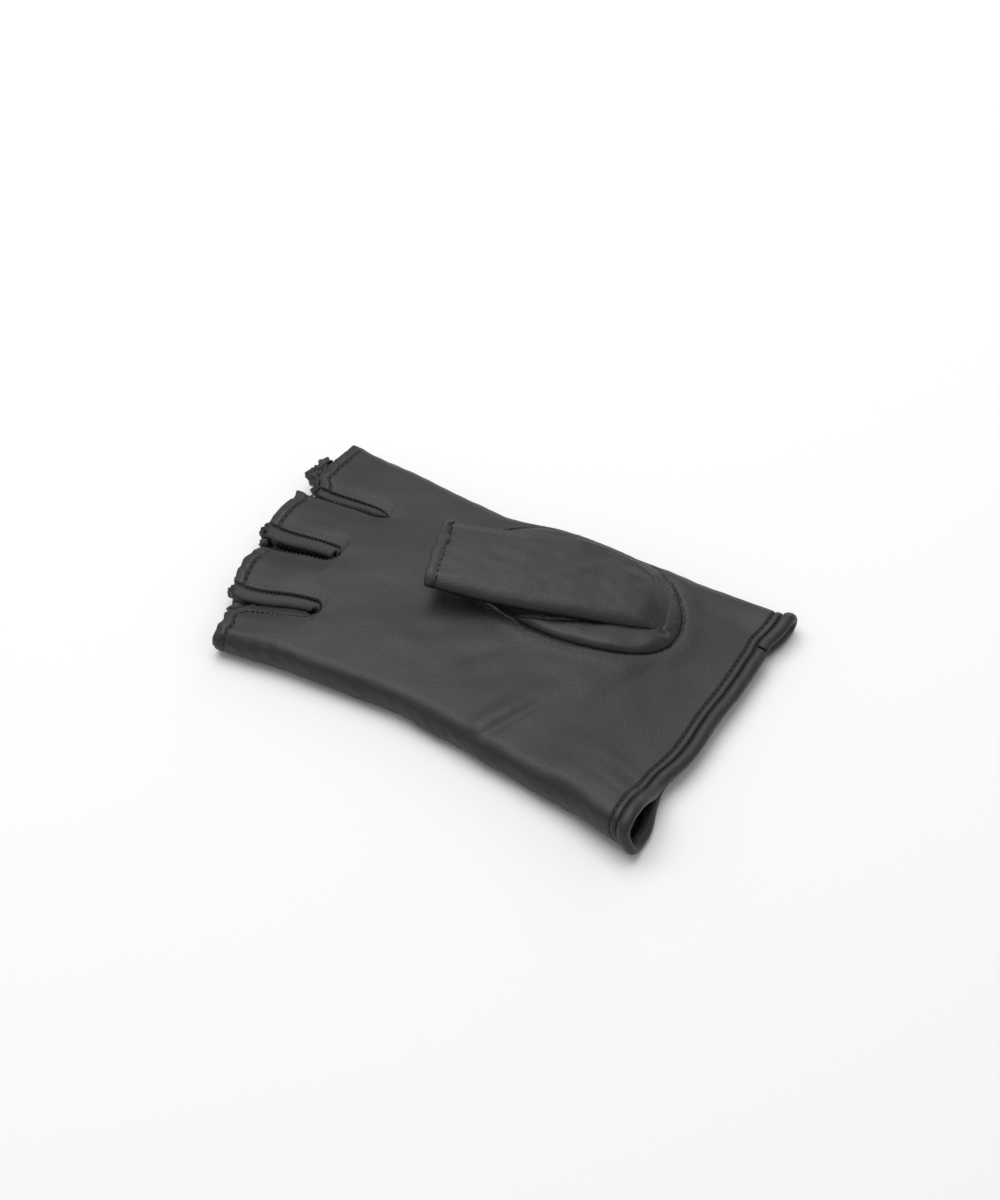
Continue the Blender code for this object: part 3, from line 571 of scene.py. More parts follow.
def grain_group():
    """Fine leather grain: small cells with soft creases between them, on faint cloudy variation."""
    found = bpy.data.node_groups.get("leather_grain")
    if found:
        return found
    group = bpy.data.node_groups.new("leather_grain", "ShaderNodeTree")
    for name, value in (("Cells", 2400.0), ("Folds", 420.0), ("Fold depth", 0.6), ("Mottle", 0.12)):
        made = group.interface.new_socket(name, in_out="INPUT", socket_type="NodeSocketFloat")
        made.default_value = value
    for name in ("Height", "Shade", "Dull"):
        group.interface.new_socket(name, in_out="OUTPUT", socket_type="NodeSocketFloat")
    given, result = group.nodes.new("NodeGroupInput").outputs, group.nodes.new("NodeGroupOutput").inputs

    def sums(operation, *values):
        """Output of a math node on values or sockets."""
        return add_node(group, "Math", dict(enumerate(values)), operation=operation).outputs[0]

    place = add_node(group, "TexCoord", {}).outputs["Object"]
    wobble = add_node(group, "TexNoise", {"Scale": 900.0, "Vector": place}).outputs["Color"]
    bend = add_node(group, "VectorMath", {0: wobble, 1: (0.0004, 0.0004, 0.0004), 2: place},
                    operation="MULTIPLY_ADD").outputs[0]
    cells = add_node(group, "TexVoronoi", {"Vector": bend, "Scale": given["Cells"], "Smoothness": 0.35},
                     feature="SMOOTH_F1").outputs["Distance"]
    folds = add_node(group, "TexNoise", {"Vector": place, "Scale": given["Folds"], "Detail": 3.0})
    cloud = add_node(group, "TexNoise", {"Vector": place, "Scale": 70.0, "Detail": 2.0})
    grain = sums("POWER", cells, 1.6)
    height = sums("MULTIPLY_ADD", folds.outputs["Fac"], given["Fold depth"], sums("MULTIPLY", grain, -1.0))
    mottle = sums("MULTIPLY_ADD", sums("SUBTRACT", cloud.outputs["Fac"], 0.5), given["Mottle"], 0.5)
    group.links.new(height, result["Height"])
    group.links.new(sums("SUBTRACT", mottle, sums("MULTIPLY", grain, 0.18)), result["Shade"])
    group.links.new(sums("MULTIPLY_ADD", grain, 0.25, 0.4), result["Dull"])
    return group


def leather_material(name, color, rough, cells, folds, fold_depth, bump, sheen=0.0):
    """Principled leather whose colour, roughness and bump come from the grain group."""
    made = bpy.data.materials.new(name)
    made.use_nodes = True
    tree = made.node_tree
    shader = tree.nodes["Principled BSDF"].inputs
    shader["Specular IOR Level"].default_value = 0.5
    shader["Sheen Weight"].default_value = sheen
    shader["Sheen Roughness"].default_value = 0.5
    grain = add_node(tree, "Group", {"Cells": cells, "Folds": folds, "Fold depth": fold_depth},
                     node_tree=grain_group()).outputs
    dark, light = ((*[value * share for value in color], 1) for share in (0.62, 1.38))
    tint = add_node(tree, "Mix", {"Factor": grain["Shade"], "A": dark, "B": light}, data_type="RGBA")
    dull = add_node(tree, "MapRange", {"Value": grain["Dull"], "From Min": 0.4, "From Max": 0.65,
                                       "To Min": rough, "To Max": min(1.0, rough + 0.16)})
    relief = add_node(tree, "Bump", {"Height": grain["Height"], "Strength": 1.0, "Distance": bump})
    tree.links.new(tint.outputs["Result"], shader["Base Color"])
    tree.links.new(dull.outputs["Result"], shader["Roughness"])
    tree.links.new(relief.outputs["Normal"], shader["Normal"])
    return made


def look(name):
    """The glove's materials, made once from the panel's colours."""
    found = bpy.data.materials.get(name)
    if found:
        return found
    colors = bpy.context.scene.glove_colors
    if name == "glove_leather":
        return leather_material(name, colors.leather, colors.roughness, 2300.0, 330.0, 0.9, 0.00006)
    # darker copy of the leather for the strips between the fingers: painted shade for the shadow down in the
    # finger gaps
    if name == "gap_leather_painted_shade":
        painted_shade_colour = [0.7 * value for value in colors.leather]
        return leather_material(name, painted_shade_colour, 0.48, 2300.0, 330.0, 0.9, 0.00006)
    if name == "flesh_side":
        return leather_material(name, colors.inside, 0.9, 3200.0, 900.0, 1.6, 0.00016, sheen=0.25)
    return leather_material(name, colors.thread, 0.72, 5200.0, 2500.0, 0.8, 0.00005, sheen=0.1)


def leathers(outside="glove_leather"):
    """Materials of a piece of leather: its outside and its rough inside."""
    return [look(outside), look("flesh_side")]


# ---- settings -----------------------------------------------------------------------------------
def metres(name, text, value, least, most):
    """A length for the panel."""
    return bpy.props.FloatProperty(name=name, description=text, default=value, min=least, max=most,
                                   unit="LENGTH")


def color(name, text, value):
    """A colour for the panel."""
    return bpy.props.FloatVectorProperty(name=name, description=text, default=value, subtype="COLOR",
                                         min=0, max=1)


class GloveSizes(bpy.types.PropertyGroup):
    leather: metres("Leather", "Thickness of the glove leather", 0.0008, 0.0004, 0.0014)
    stitch: metres("Stitch pitch", "Length of one stitch with its gap", 0.0021, 0.001, 0.004)
    fine_stitch: metres("Fine stitch pitch", "The same, along the finger gaps", 0.0013, 0.0008, 0.003)
    thread: metres("Thread", "Diameter of the sewing thread", 0.0005, 0.0002, 0.0008)


class GloveColors(bpy.types.PropertyGroup):
    leather: color("Leather", "Colour of the leather's smooth side", (0.0105, 0.0100, 0.0104))
    inside: color("Inside", "Colour of the leather's rough side", (0.030, 0.027, 0.028))
    thread: color("Thread", "Colour of the sewing thread", (0.0022, 0.0020, 0.0022))
    roughness: bpy.props.FloatProperty(name="Roughness", description="Roughness of the smooth side",
                                       default=0.42, min=0, max=1, subtype="FACTOR")


class GloveStage(bpy.types.PropertyGroup):
    lens: bpy.props.FloatProperty(name="Lens", description="Focal length in millimetres", default=75.0)
    azimuth: bpy.props.FloatProperty(name="Azimuth", description="Camera's direction round the glove",
                                     default=math.radians(301.1), subtype="ANGLE")
    elevation: bpy.props.FloatProperty(name="Elevation", description="Camera's angle above the table",
                                       default=math.radians(45.4), subtype="ANGLE")
    distance: metres("Distance", "Camera to the point that it looks at", 0.734, 0.1, 10.0)
    target: bpy.props.FloatVectorProperty(name="Target", description="Point that the camera looks at",
                                          default=(0.0162, 0.0039, 0.0), subtype="TRANSLATION")
    floor: color("Floor", "Colour of the table", (0.88, 0.88, 0.885))


# ---- operators ----------------------------------------------------------------------------------
class GLOVE_OT_trank(bpy.types.Operator):
    """Palm and back in one leather, with turned-in finger hems and curled gap edges"""
    bl_idname = "glove.trank"
    bl_label = "Palm and back"

    def execute(self, context):
        leather = context.scene.glove_sizes.leather
        verts, faces, first = [], [], 0
        for points, aims in trank_sheets(rows_along()):
            points, aims = add_turn_in(points, aims, HEM * 1.15, leather)
            rows, columns = points.shape[:2]
            verts.append(points.reshape(-1, 3))
            faces.append(grid_quads(rows, columns, first=first))
            first += rows * columns
        verts, faces = np.concatenate(verts), np.concatenate(faces)
        middle = verts[faces].mean(axis=1)
        _, _, right, _, right_r = flat_span(middle[:, 1], ENDS[3] - middle[:, 1])
        over = np.clip((middle[:, 0] - right) / right_r, 0, 1)
        unrolled = np.where(over > 0, right + right_r * np.arcsin(over), middle[:, 0])
        under = (oval_distance(unrolled, middle[:, 1]) < -1.6 * MM) & (middle[:, 2] > 5 * MM)
        verts[:, 2] = np.maximum(verts[:, 2], 0.0)
        used, kept = np.unique(faces[~under], return_inverse=True)
        made = mesh_object("glove_trank", to_row(verts[used]), kept.reshape(-1, 4), leathers(), weld=2e-6)
        thicken(made, leather)
        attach(made, "glove")
        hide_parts("trank")
        return {"FINISHED"}


def gap_path(number, offset, extra):
    """U path round a gap, from the index side's end to the little side's, offset out of its outline.

    Along each side the points are the outline's; round the root they follow it down to the root's middle.
    extra lengthens both sides past the fingers' ends.
    """
    root = GAPS[number][0]
    sides = []
    for hand, finger in ((-1, number + 1), (1, number)):
        share = np.concatenate([[0, 0.004, 0.012, 0.025, 0.045, 0.07, 0.1, 0.14], np.linspace(0.18, 1, 30)])
        along = root + (ENDS[finger] + extra - root) * share
        x = gap_sides(number, along)[1 if hand < 0 else 0]
        out_x, out_y = gap_outward(number, hand, np.maximum(along, root + 0.02 * MM))
        sides.append(np.stack([x - out_x * offset, along - out_y * offset], axis=1))
    return np.vstack([sides[0][::-1], sides[1][1:]])


def gap_walls(number, extra):
    """Path round a gap, its directions into the gap, the little side's share and the curl's radius."""
    path = gap_path(number, 0.0, extra)
    inner = gap_path(number, -1.0 * MM, extra) - path
    inner = inner / np.linalg.norm(inner, axis=1, keepdims=True)
    wall = smooth((np.linspace(0, 1, len(path)) - 0.45) / 0.10)
    return path, inner, wall, CURLS[number][1][0] * (1 - wall) + CURLS[number][0][0] * wall


def gap_heights(number, path):
    """z of the palm's and the back's outside along a path round a gap."""
    along = path[:, 1]
    index_side = np.arange(len(path)) < len(path) // 2
    to_end = ENDS[np.where(index_side, number + 1, number)] - along
    back, left, right, _, _ = flat_span(along, to_end)
    drop = np.where(index_side, gap_drop(number, -1, along, 0.0 * along, 20 * MM),
                    gap_drop(number, 1, along, 0.0 * along, 20 * MM))
    across = (path[:, 0] - left) / (right - left)
    return palm_height(along, across, to_end) - drop, back + drop


# walls between the fingers, for each gap its index side and little side: (share of the height, bulge as a
# share of the gap's width)
WALLS = (
    (((0, 0.5), (0.15, 0.48), (0.3, 0.34), (0.7, 0.42), (0.88, 0.34), (0.96, 0.19), (1, 0.03)),
     ((0, 0.3), (0.2, 0.5), (0.6, 0.52), (0.8, 0.47), (0.9, 0.36), (0.96, 0.2), (1, 0.03))),
    (((0, 0.5), (0.12, 0.5), (0.3, 0.4), (0.66, 0.46), (0.86, 0.38), (0.95, 0.2), (1, 0.03)),
     ((0, 0.54), (0.12, 0.56), (0.25, 0.5), (0.6, 0.3), (0.85, 0.12), (1, 0.02))),
    (((0, 0.5), (0.12, 0.5), (0.4, 0.46), (0.75, 0.56), (0.9, 0.46), (0.97, 0.25), (1, 0.05)),
     ((0, 0.54), (0.12, 0.54), (0.3, 0.4), (0.7, 0.2), (0.9, 0.1), (1, 0.02))),
)
GAP_NAMES = ("ring_little", "middle_ring", "index_middle")
WALL_ROWS = 30
# bunched hem ends that stand out of the gaps' mouths: (x, along, z) and half sizes, millimetres
KNOTS = (
    ((32.4, 147.3, 7.2), (2.6, 2.0, 1.6)), ((29.6, 147.0, 6.6), (2.7, 2.3, 2.0)),
    ((27.2, 148.3, 6.4), (2.4, 2.4, 1.7)), ((25.8, 146.2, 5.8), (2.6, 2.7, 2.3)),
    ((23.4, 145.8, 5.2), (2.2, 2.3, 2.1)), ((-0.9, 148.2, 5.8), (1.6, 1.8, 2.4)),
    ((1.4, 148.8, 6.4), (1.2, 1.5, 1.4)), ((-3.4, 146.8, 4.4), (1.9, 1.8, 1.8)),
    ((-25.6, 144.6, 5.0), (1.4, 1.7, 2.2)), ((-32.0, 137.4, 6.4), (2.0, 2.0, 1.7)),
    ((-30.0, 138.8, 4.8), (1.7, 1.8, 1.6)),
)


class GLOVE_OT_fourchettes(bpy.types.Operator):
    """Strips between the fingers, folded round each gap's root and rolled out into the gap"""
    bl_idname = "glove.fourchettes"
    bl_label = "Strips between the fingers"

    def execute(self, context):
        for number, name in enumerate(GAP_NAMES):
            path, inner, wall, curl = gap_walls(number, 0.3 * MM)
            top, bottom = gap_heights(number, path)
            share = np.linspace(0, 1, WALL_ROWS)[:, None]
            low_x, high_x = gap_sides(number, path[:, 1])
            width = np.maximum(high_x - low_x, 2.2 * MM)[None, :]
            index_wall, little_wall = (through(share, shape, 1.0) for shape in WALLS[number])
            reach = 0.3 * MM + (index_wall * (1 - wall) + little_wall * wall) * width
            gone = run_lengths(path)[None, :]
            end = np.minimum(gone, gone[:, -1:] - gone)
            puff = np.sin(math.pi * share)
            lumps = ripple(gone, share * 7 * MM, 3.6 * MM, 31 + number) * bell(end, 3.4 * MM)
            waves = 0.08 * MM * ripple(gone, share * 7 * MM, 6 * MM, 35 + number)
            reach = reach + puff * (0.4 * lumps * MM + waves)
            reach = reach - puff * 0.4 * MM * bell(end - HEM, 0.5 * MM)
            rounded = np.sqrt(1 - (1 - np.clip(end / (2.2 * MM), 0, 1)) ** 2)
            reach = reach * (0.45 + 0.55 * rounded)
            z = bottom + 0.8 * MM + (top - bottom - 0.8 * MM - (0.25 + 0.5 * curl) * MM) * share
            points = np.stack([path[:, 0] + inner[:, 0] * reach, path[:, 1] + inner[:, 1] * reach, z], axis=2)
            faces = grid_quads(WALL_ROWS, len(path))
            # the walls wear the darker leather copy, painted shade for the shadow in the gaps
            made = mesh_object("glove_fourchette_" + name, to_row(points), faces, leathers("gap_leather_painted_shade"))
            thicken(made, context.scene.glove_sizes.leather * 0.7)
            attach(made, "glove")
            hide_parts("fourchette_" + name)
        self.make_knots()
        return {"FINISHED"}

    def make_knots(self):
        """Bunched hem ends: balls whose radius swells and dips with soft noise, one for each of KNOTS."""
        rows, columns = 11, 22
        turn, tilt = np.meshgrid(np.linspace(0, 2 * math.pi, columns, endpoint=False),
                                 np.linspace(0, math.pi, rows + 2)[1:-1])
        ball = np.stack([np.cos(turn) * np.sin(tilt), np.sin(turn) * np.sin(tilt), np.cos(tilt)], axis=2)
        ball = np.vstack([ball.reshape(-1, 3), [[0, 0, 1], [0, 0, -1]]])
        quads = grid_quads(rows, columns, closed=True, flip=True)
        north, south, last = rows * columns, rows * columns + 1, (rows - 1) * columns
        caps = [[k, (k + 1) % columns, north] for k in range(columns)]
        caps += [[last + (k + 1) % columns, last + k, south] for k in range(columns)]
        verts, faces = [], []
        for number, (place, size) in enumerate(KNOTS):
            first = len(verts) * len(ball)
            swell = 1 + 0.16 * ripple(ball[:, 0] * 2 + ball[:, 2], ball[:, 1] * 2, 1.7, 71 + number)
            verts.append(np.array(place) * MM + ball * np.array(size) * MM * swell[:, None])
            faces += (quads + first).tolist() + [[corner + first for corner in cap] for cap in caps]
        made = mesh_object("glove_hem_ends", to_row(np.concatenate(verts)), faces, [look("glove_leather")])
        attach(made, "glove")


def oval_outline(angle, inset):
    """Point (x, along) of the thumb's setting seam at an angle, moved in by a distance towards the middle."""
    x, y = np.where(np.cos(angle) > 0, OVAL_INDEX, OVAL_LITTLE) * np.cos(angle), OVAL_ALONG * np.sin(angle)
    shrink = 1 - inset / np.sqrt(x * x + y * y)
    return HOLE[0] + x * shrink, HOLE[1] - CUFF_Y + y * shrink


def palm_level(x, along):
    """z of the palm's outside at a place on it."""
    _, left, right, _, _ = flat_span(along, ENDS[3] - along)
    return palm_height(along, np.clip((x - left) / (right - left), 0, 1), ENDS[3] - along)


def palm_place(across, along, lift):
    """Point at a height above the palm; across is its x, and goes on as arc length round the index edge."""
    back, left, right, _, right_r = flat_span(along, ENDS[3] - along)
    flat_z = palm_height(along, (np.minimum(across, right) - left) / (right - left), ENDS[3] - along)
    turn = np.clip((across - right) / right_r, 0, 1.5)
    x = np.where(across > right, right + (right_r + lift) * np.sin(turn), across)
    z = np.where(across > right, back + right_r + (right_r + lift) * np.cos(turn), flat_z + lift)
    return np.stack([x, along + 0 * x, z], axis=-1)


def fold_place(x, along):
    """Distances along the thumb's fold line and from it over the palm."""
    dx, dy = x - FOLD_POINT[0], along + CUFF_Y - FOLD_POINT[1]
    return dx * FOLD_RUN[0] + dy * FOLD_RUN[1], dx * FOLD_SIDE[0] + dy * FOLD_SIDE[1]


def tip_lift(inset):
    """Rise of the thumb's leather at its cuff end, at a distance inside the setting seam."""
    return (1.9 * (1 - np.exp(-inset / (1.5 * MM))) - 0.2) * MM


def setting_groove(inset):
    """Depth in millimetres of the groove that the setting seam pulls in, at a distance inside the seam."""
    return 1.0 * bell(inset, 0.28 * MM) + 0.2 * bell(inset, 1.0 * MM)


# rings of the thumb base's mesh, from outside the setting seam to the middle, millimetres inside the seam
BASE_STEPS = (-3.4, -2.9, -2.4, -1.9, -1.5, -1.15, -0.85, -0.6, -0.42, -0.28, -0.14, 0, 0.14, 0.28, 0.42, 0.6,
              0.85, 1.15, 1.5, 1.9, 2.4, 3.0, 3.7, 4.5, 5.4, 6.4, 7.6, 9.0, 10.6, 12.4, 14.4, 16.6, 18.6)


class GLOVE_OT_thumb_base(bpy.types.Operator):
    """Thumb base: a low cushion of leather sewn into the palm's oval, with the seam's groove and lips"""
    bl_idname = "glove.thumb_base"
    bl_label = "Thumb base"

    def execute(self, context):
        angle = np.linspace(0, 2 * math.pi, 300, endpoint=False)[None, :]
        inset = np.array(BASE_STEPS)[:, None] * MM
        across, along = oval_outline(angle, inset)
        run, off = fold_place(across, along)
        under = smooth((through(run, NEAR_EDGE) + 0.3 * MM - off) / (2.2 * MM)) * (1 - rise(run, 68, 6))
        far = smooth((1.0 * MM - off) / (3 * MM))
        crown = 2.0 * (1 - under) + 0.5 * under
        crown = (crown * (1 - far) + (1.1 + 0.9 * bell(along - 79 * MM, 13 * MM)) * far) * MM
        inside = crown * (1 - np.exp(-np.maximum(inset, 0) / ((1.3 + 0.9 * far) * MM))) - 0.2 * MM
        tip = 1 - rise(run, 5.2, 3.2)
        inside = inside * (1 - tip) + tip_lift(np.maximum(inset, 0)) * tip
        inside = inside + 0.14 * MM * ripple(across, along, 14 * MM, 41) * rise(inset, 0, 3)
        pinch = bell(np.hypot(off - 19.0 * MM, run - 5.0 * MM), 3.2 * MM)
        inside = inside + 0.3 * MM * ripple(off, run * 0.4, 2.2 * MM, 53) * pinch
        folds = palm_folds(np.minimum(across, HOLE[0] + HOLE_HALF[0]), along, ENDS[3] - along)
        rim = 0.2 * MM * (1 - smooth((inset + 3.4 * MM) / MM))
        outside = folds + 0.07 * MM * smooth((inset + 2.6 * MM) / MM) - rim
        pucker = 0.06 * MM * ripple(angle * HOLE_HALF[1], 0 * angle, 2.6 * MM, 43) * bell(inset, 2.0 * MM)
        lift = np.where(inset > 0, inside, outside) - setting_groove(inset) * MM + pucker
        points = palm_place(across, along, lift)
        rows, columns = points.shape[:2]
        verts = np.vstack([points.reshape(-1, 3), points[-1].mean(axis=0)[None]])
        faces = grid_quads(rows, columns, closed=True).tolist()
        hub, ring = rows * columns, (rows - 1) * columns
        faces += [[ring + k, ring + (k + 1) % columns, hub] for k in range(columns)]
        made = mesh_object("glove_thumb_base", to_row(verts), faces, leathers())
        thicken(made, context.scene.glove_sizes.leather * 0.7)
        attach(made, "glove")
        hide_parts("thumb_gusset")
        return {"FINISHED"}


# ---- the thumb stall: run goes along the fold line, off from the fold over the palm ------------------
# Both edges' distances from the fold and heights over the palm, and the stall's thickness, each against the
# distance along the fold. CUFF_CURVE bends the cuff end, against the distance from the fold. Millimetres.
FAR_EDGE = ((0, 12.2), (1.2, 10.8), (3.6, 7.9), (7.2, 4.4), (11, 1.6), (16, -0.9), (22, -2.4), (31, -3.2),
            (39, -2.7), (47, -1.3), (56, -0.3), (76, 0))
NEAR_EDGE = ((0, 18.6), (5, 19.4), (12, 21.0), (24, 22.6), (35, 23.8), (46, 24.9), (58, 24.9), (68, 24.3),
             (76, 23.6))
FAR_RISE = ((0, -0.7), (2, 0.6), (5, 1.7), (10, 3.2), (18, 5.3), (26, 7.2), (34, 8.8), (52, 10.5), (76, 10.9))
NEAR_RISE = ((0, -0.7), (2, 0.9), (5, 1.8), (8, 2.1), (13, 3.0), (24, 5.0), (46, 7.9), (76, 10.2))
THICK = ((0, 0.7), (5, 1.3), (8, 1.9), (13, 3.0), (24, 4.3), (46, 5.0), (76, 4.8))
CUFF_CURVE = ((3, 5.0), (6, 2.6), (9, 0.8), (12.4, -0.3), (16, -0.3), (20, 0.8))


def stall_ring(run, turn):
    """Distance off the fold, height and height of the middle line of the stall's section.

    turn 0 is the far crease, pi the near roll, and the top lies between them. The section is a teardrop about
    a slanting line from the crease to the roll: thin at the crease, thick and round at the roll. Its top
    follows the rise of both edges with a low crown between them.
    """
    c = -np.cos(turn)
    top = np.sign(np.sin(turn) + 1e-12)
    far, near = through(run, FAR_EDGE), through(run, NEAR_EDGE)
    off = (far + near) / 2 + (near - far) / 2 * c
    thick = through(run, THICK)
    share = (c + 1) / 2
    full = 0.36 + 0.64 * smooth(share * 1.15)
    roll = thick / (near - far)
    past = np.clip((c - 1 + 2 * roll) / (2 * roll), 0, 1)
    tip = np.clip((-c - 1 + 0.05) / 0.05, 0, 1)
    ends = np.sqrt(np.maximum(1 - past ** 2, 0)) * np.sqrt(np.maximum(1 - tip ** 2, 0))
    crown = (0.5 + 0.9 * bell(run - 14 * MM, 12 * MM)) * MM * (1 - c ** 2) * rise(run, 0, 6)
    ridge = 0.4 * MM * bell(off - far - 0.9 * MM, 0.8 * MM)
    crown = crown + ridge * np.maximum(top, 0) * rise(run, 9, 9)
    line = through(run, FAR_RISE) * (1 - share) + through(run, NEAR_RISE) * share + crown - thick / 2 * full
    return off, line + top * thick / 2 * full * ends, line


def stall_points(run, turn):
    """Row-frame points of the stall, with its cuff end bent round to the setting seam's curve."""
    off, z, _ = stall_ring(run, turn)
    bend = through(off, CUFF_CURVE) * (1 - rise(run, 0, 13))
    sine, c = np.sin(turn), -np.cos(turn)
    top = np.maximum(sine, 0)
    slant = (run - 34 * MM) * 0.55
    folds = 0.16 * MM * ripple(off, run, 17 * MM, 51) + 0.05 * MM * ripple(off, run, 6 * MM, 52)
    folds = folds + 0.35 * MM * bell((off - 9 * MM) - slant, 2.6 * MM) * bell(run - 36 * MM, 9 * MM)
    folds = folds - 0.25 * MM * bell((off - 5 * MM) - slant, 2.2 * MM) * bell(run - 38 * MM, 10 * MM)
    pinch = 0.5 * MM * ripple(off * 0.5, run, 2.4 * MM, 53)
    pinch = pinch * bell(np.hypot(off - 19.0 * MM, run - 7.5 * MM), 3.6 * MM)
    pucker = 0.10 * MM * ripple(0 * off, run, 2.4 * MM, 54) * smooth((c - 0.62) / 0.3)
    pucker = pucker * bell(run - 50 * MM, 9 * MM)
    to_end = THUMB_END - run
    row = -0.32 * MM * bell(to_end - HEM, 0.5 * MM) + 0.2 * MM * bell(to_end - HEM / 2, 0.9 * MM)
    z = z + (folds + pinch) * top * rise(run, 0, 5) + pucker * sine
    z = z + row * np.sign(sine) * np.abs(sine) ** 0.3
    off = off + pucker * np.maximum(c, 0) * 1.2
    points = FOLD_POINT + FOLD_RUN * (run + bend)[..., None] + FOLD_SIDE * off[..., None]
    along = points[..., 1] - CUFF_Y
    inset = -oval_distance(points[..., 0], along)
    sunk = MM * (0.40 * rise(run, 3, 4.5) - 0.34)
    groove = MM * setting_groove(inset)
    tip = palm_level(points[..., 0], along) + tip_lift(np.maximum(inset, 0)) - groove + sunk
    blend = 1 - rise(run, 4.5, 7)
    upper = (z + PALM_TOP) * (1 - blend) + tip * blend
    lower = (z + PALM_TOP) * (1 - blend) + (tip - 0.8 * MM) * blend
    lower = np.minimum(lower, upper - 0.3 * MM * (np.abs(c) < 0.95))
    points[..., 2] = np.where(sine >= -1e-9, upper, lower)
    return points


# rings of the stall's turned-in hem: share of the way to the section's middle line, millimetres past the end
HEM_TURN = ((0.04, 0.35), (0.14, 0.62), (0.26, 0.72), (0.38, 0.6), (0.45, 0.3), (0.47, -0.6), (0.47, -2.8))


class GLOVE_OT_thumb_stall(bpy.types.Operator):
    """Thumb stall: a flattened tube folded over the palm, with a turned-in hem at its open end"""
    bl_idname = "glove.thumb_stall"
    bl_label = "Thumb stall"

    def execute(self, context):
        turn = 2 * math.pi * np.concatenate([np.linspace(0, 0.5, 84, endpoint=False),
                                             np.linspace(0.5, 1, 48, endpoint=False)])
        steps = np.concatenate([[0, 0.5, 1.1, 1.8], np.arange(2.6, 73.6, 0.72)]) * MM
        run = np.append(steps, THUMB_END - 0.2 * MM)[:, None]
        points = stall_points(run, turn[None, :])
        off, _, line = stall_ring(run[-1:] * np.ones((1, len(turn))), turn[None, :])
        middle = (through(THUMB_END, FAR_EDGE) + through(THUMB_END, NEAR_EDGE)) / 2
        across = (middle + (off[0] - middle) * 0.96)[:, None]
        height = (line[0] + PALM_TOP - FOLD_POINT[2])[:, None]
        centre = FOLD_POINT + FOLD_RUN * run[-1, 0] + FOLD_SIDE * across + np.array([0, 0, 1]) * height
        outer = points[-1]
        lumps = 0.25 * ripple(off[0], 0 * off[0], 5 * MM, 55)[:, None]
        turned = np.array([outer + (centre - outer) * inward + FOLD_RUN * (ahead * (1 + lumps)) * MM
                           for inward, ahead in HEM_TURN])
        points = np.concatenate([points, turned])
        rows, columns = points.shape[:2]
        faces = grid_quads(rows, columns, closed=True, flip=True)
        made = mesh_object("glove_thumb_stall", points, faces, leathers())
        thicken(made, context.scene.glove_sizes.leather * 0.8, inside=0)
        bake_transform(made)
        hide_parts("thumb_stall")
        return {"FINISHED"}


class GLOVE_OT_binding(bpy.types.Operator):
    """Leather binding folded over the cuff's edge, its ends meeting on the palm"""
    bl_idname = "glove.binding"
    bl_label = "Cuff binding"

    def execute(self, context):
        end = BINDING_END / MM
        profile = ((end, 0.0), (end, 0.4), (end - 0.25, 0.8), (end - 0.8, 1.02), (end - 1.5, 1.15),
                   (0.5, 1.12), (-0.4, 0.85), (-1.0, 0.3), (-1.2, -0.4), (-1.0, -1.1), (-0.4, -1.6),
                   (0.6, -1.8), (1.8, -1.8), (2.9, -1.75))
        path, _ = around(0.0, 3.0)
        joint = np.argmin(np.abs(path[:, 0] - 32.6 * MM) + (path[:, 2] < 4 * MM))
        gone = run_lengths(path)
        pull = 0.11 * MM * ripple(gone, 0 * gone, 9 * MM, 61)
        pull = pull + 0.03 * MM * ripple(gone, 0 * gone, 3.1 * MM, 62)
        rows = []
        for along, lift in profile:
            loop, aims = around(max(along, 0.0) * MM, 3.0)
            puff = lift * MM + (pull if lift > 0.3 else 0)
            ring = loop + aims * np.reshape(puff, (-1, 1))
            ring[:, 1] = along * MM
            rows.append(np.roll(ring, -joint - 1, axis=0))
        points = np.array(rows)
        ease = np.minimum(np.arange(points.shape[1]), np.arange(points.shape[1])[::-1]) / 3.0
        closed_in = (1 - np.sqrt(1 - (1 - np.minimum(ease, 1)) ** 2))[None, :]
        middle = points.mean(axis=0, keepdims=True)
        points = points + (middle - points) * (closed_in * 0.45)[:, :, None]
        points[:, :, 2] = np.maximum(points[:, :, 2], 0.0)
        faces = grid_quads(len(profile), points.shape[1], flip=True)
        made = mesh_object("glove_cuff_binding", to_row(points), faces, leathers())
        thicken(made, 0.6 * MM)
        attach(made, "glove")
        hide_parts("cuff_binding")
        return {"FINISHED"}


def around(along, fine):
    """Closed path right round the glove at one distance from the cuff, with its outward aims."""
    sheets = trank_sheets(np.full((1, 4), along), fine)
    path = np.concatenate([points[0] for points, _ in sheets])
    aims = np.concatenate([aim[0] for _, aim in sheets])
    keep = np.append(True, np.linalg.norm(np.diff(path, axis=0), axis=1) > 1e-6)
    return path[keep], aims[keep]


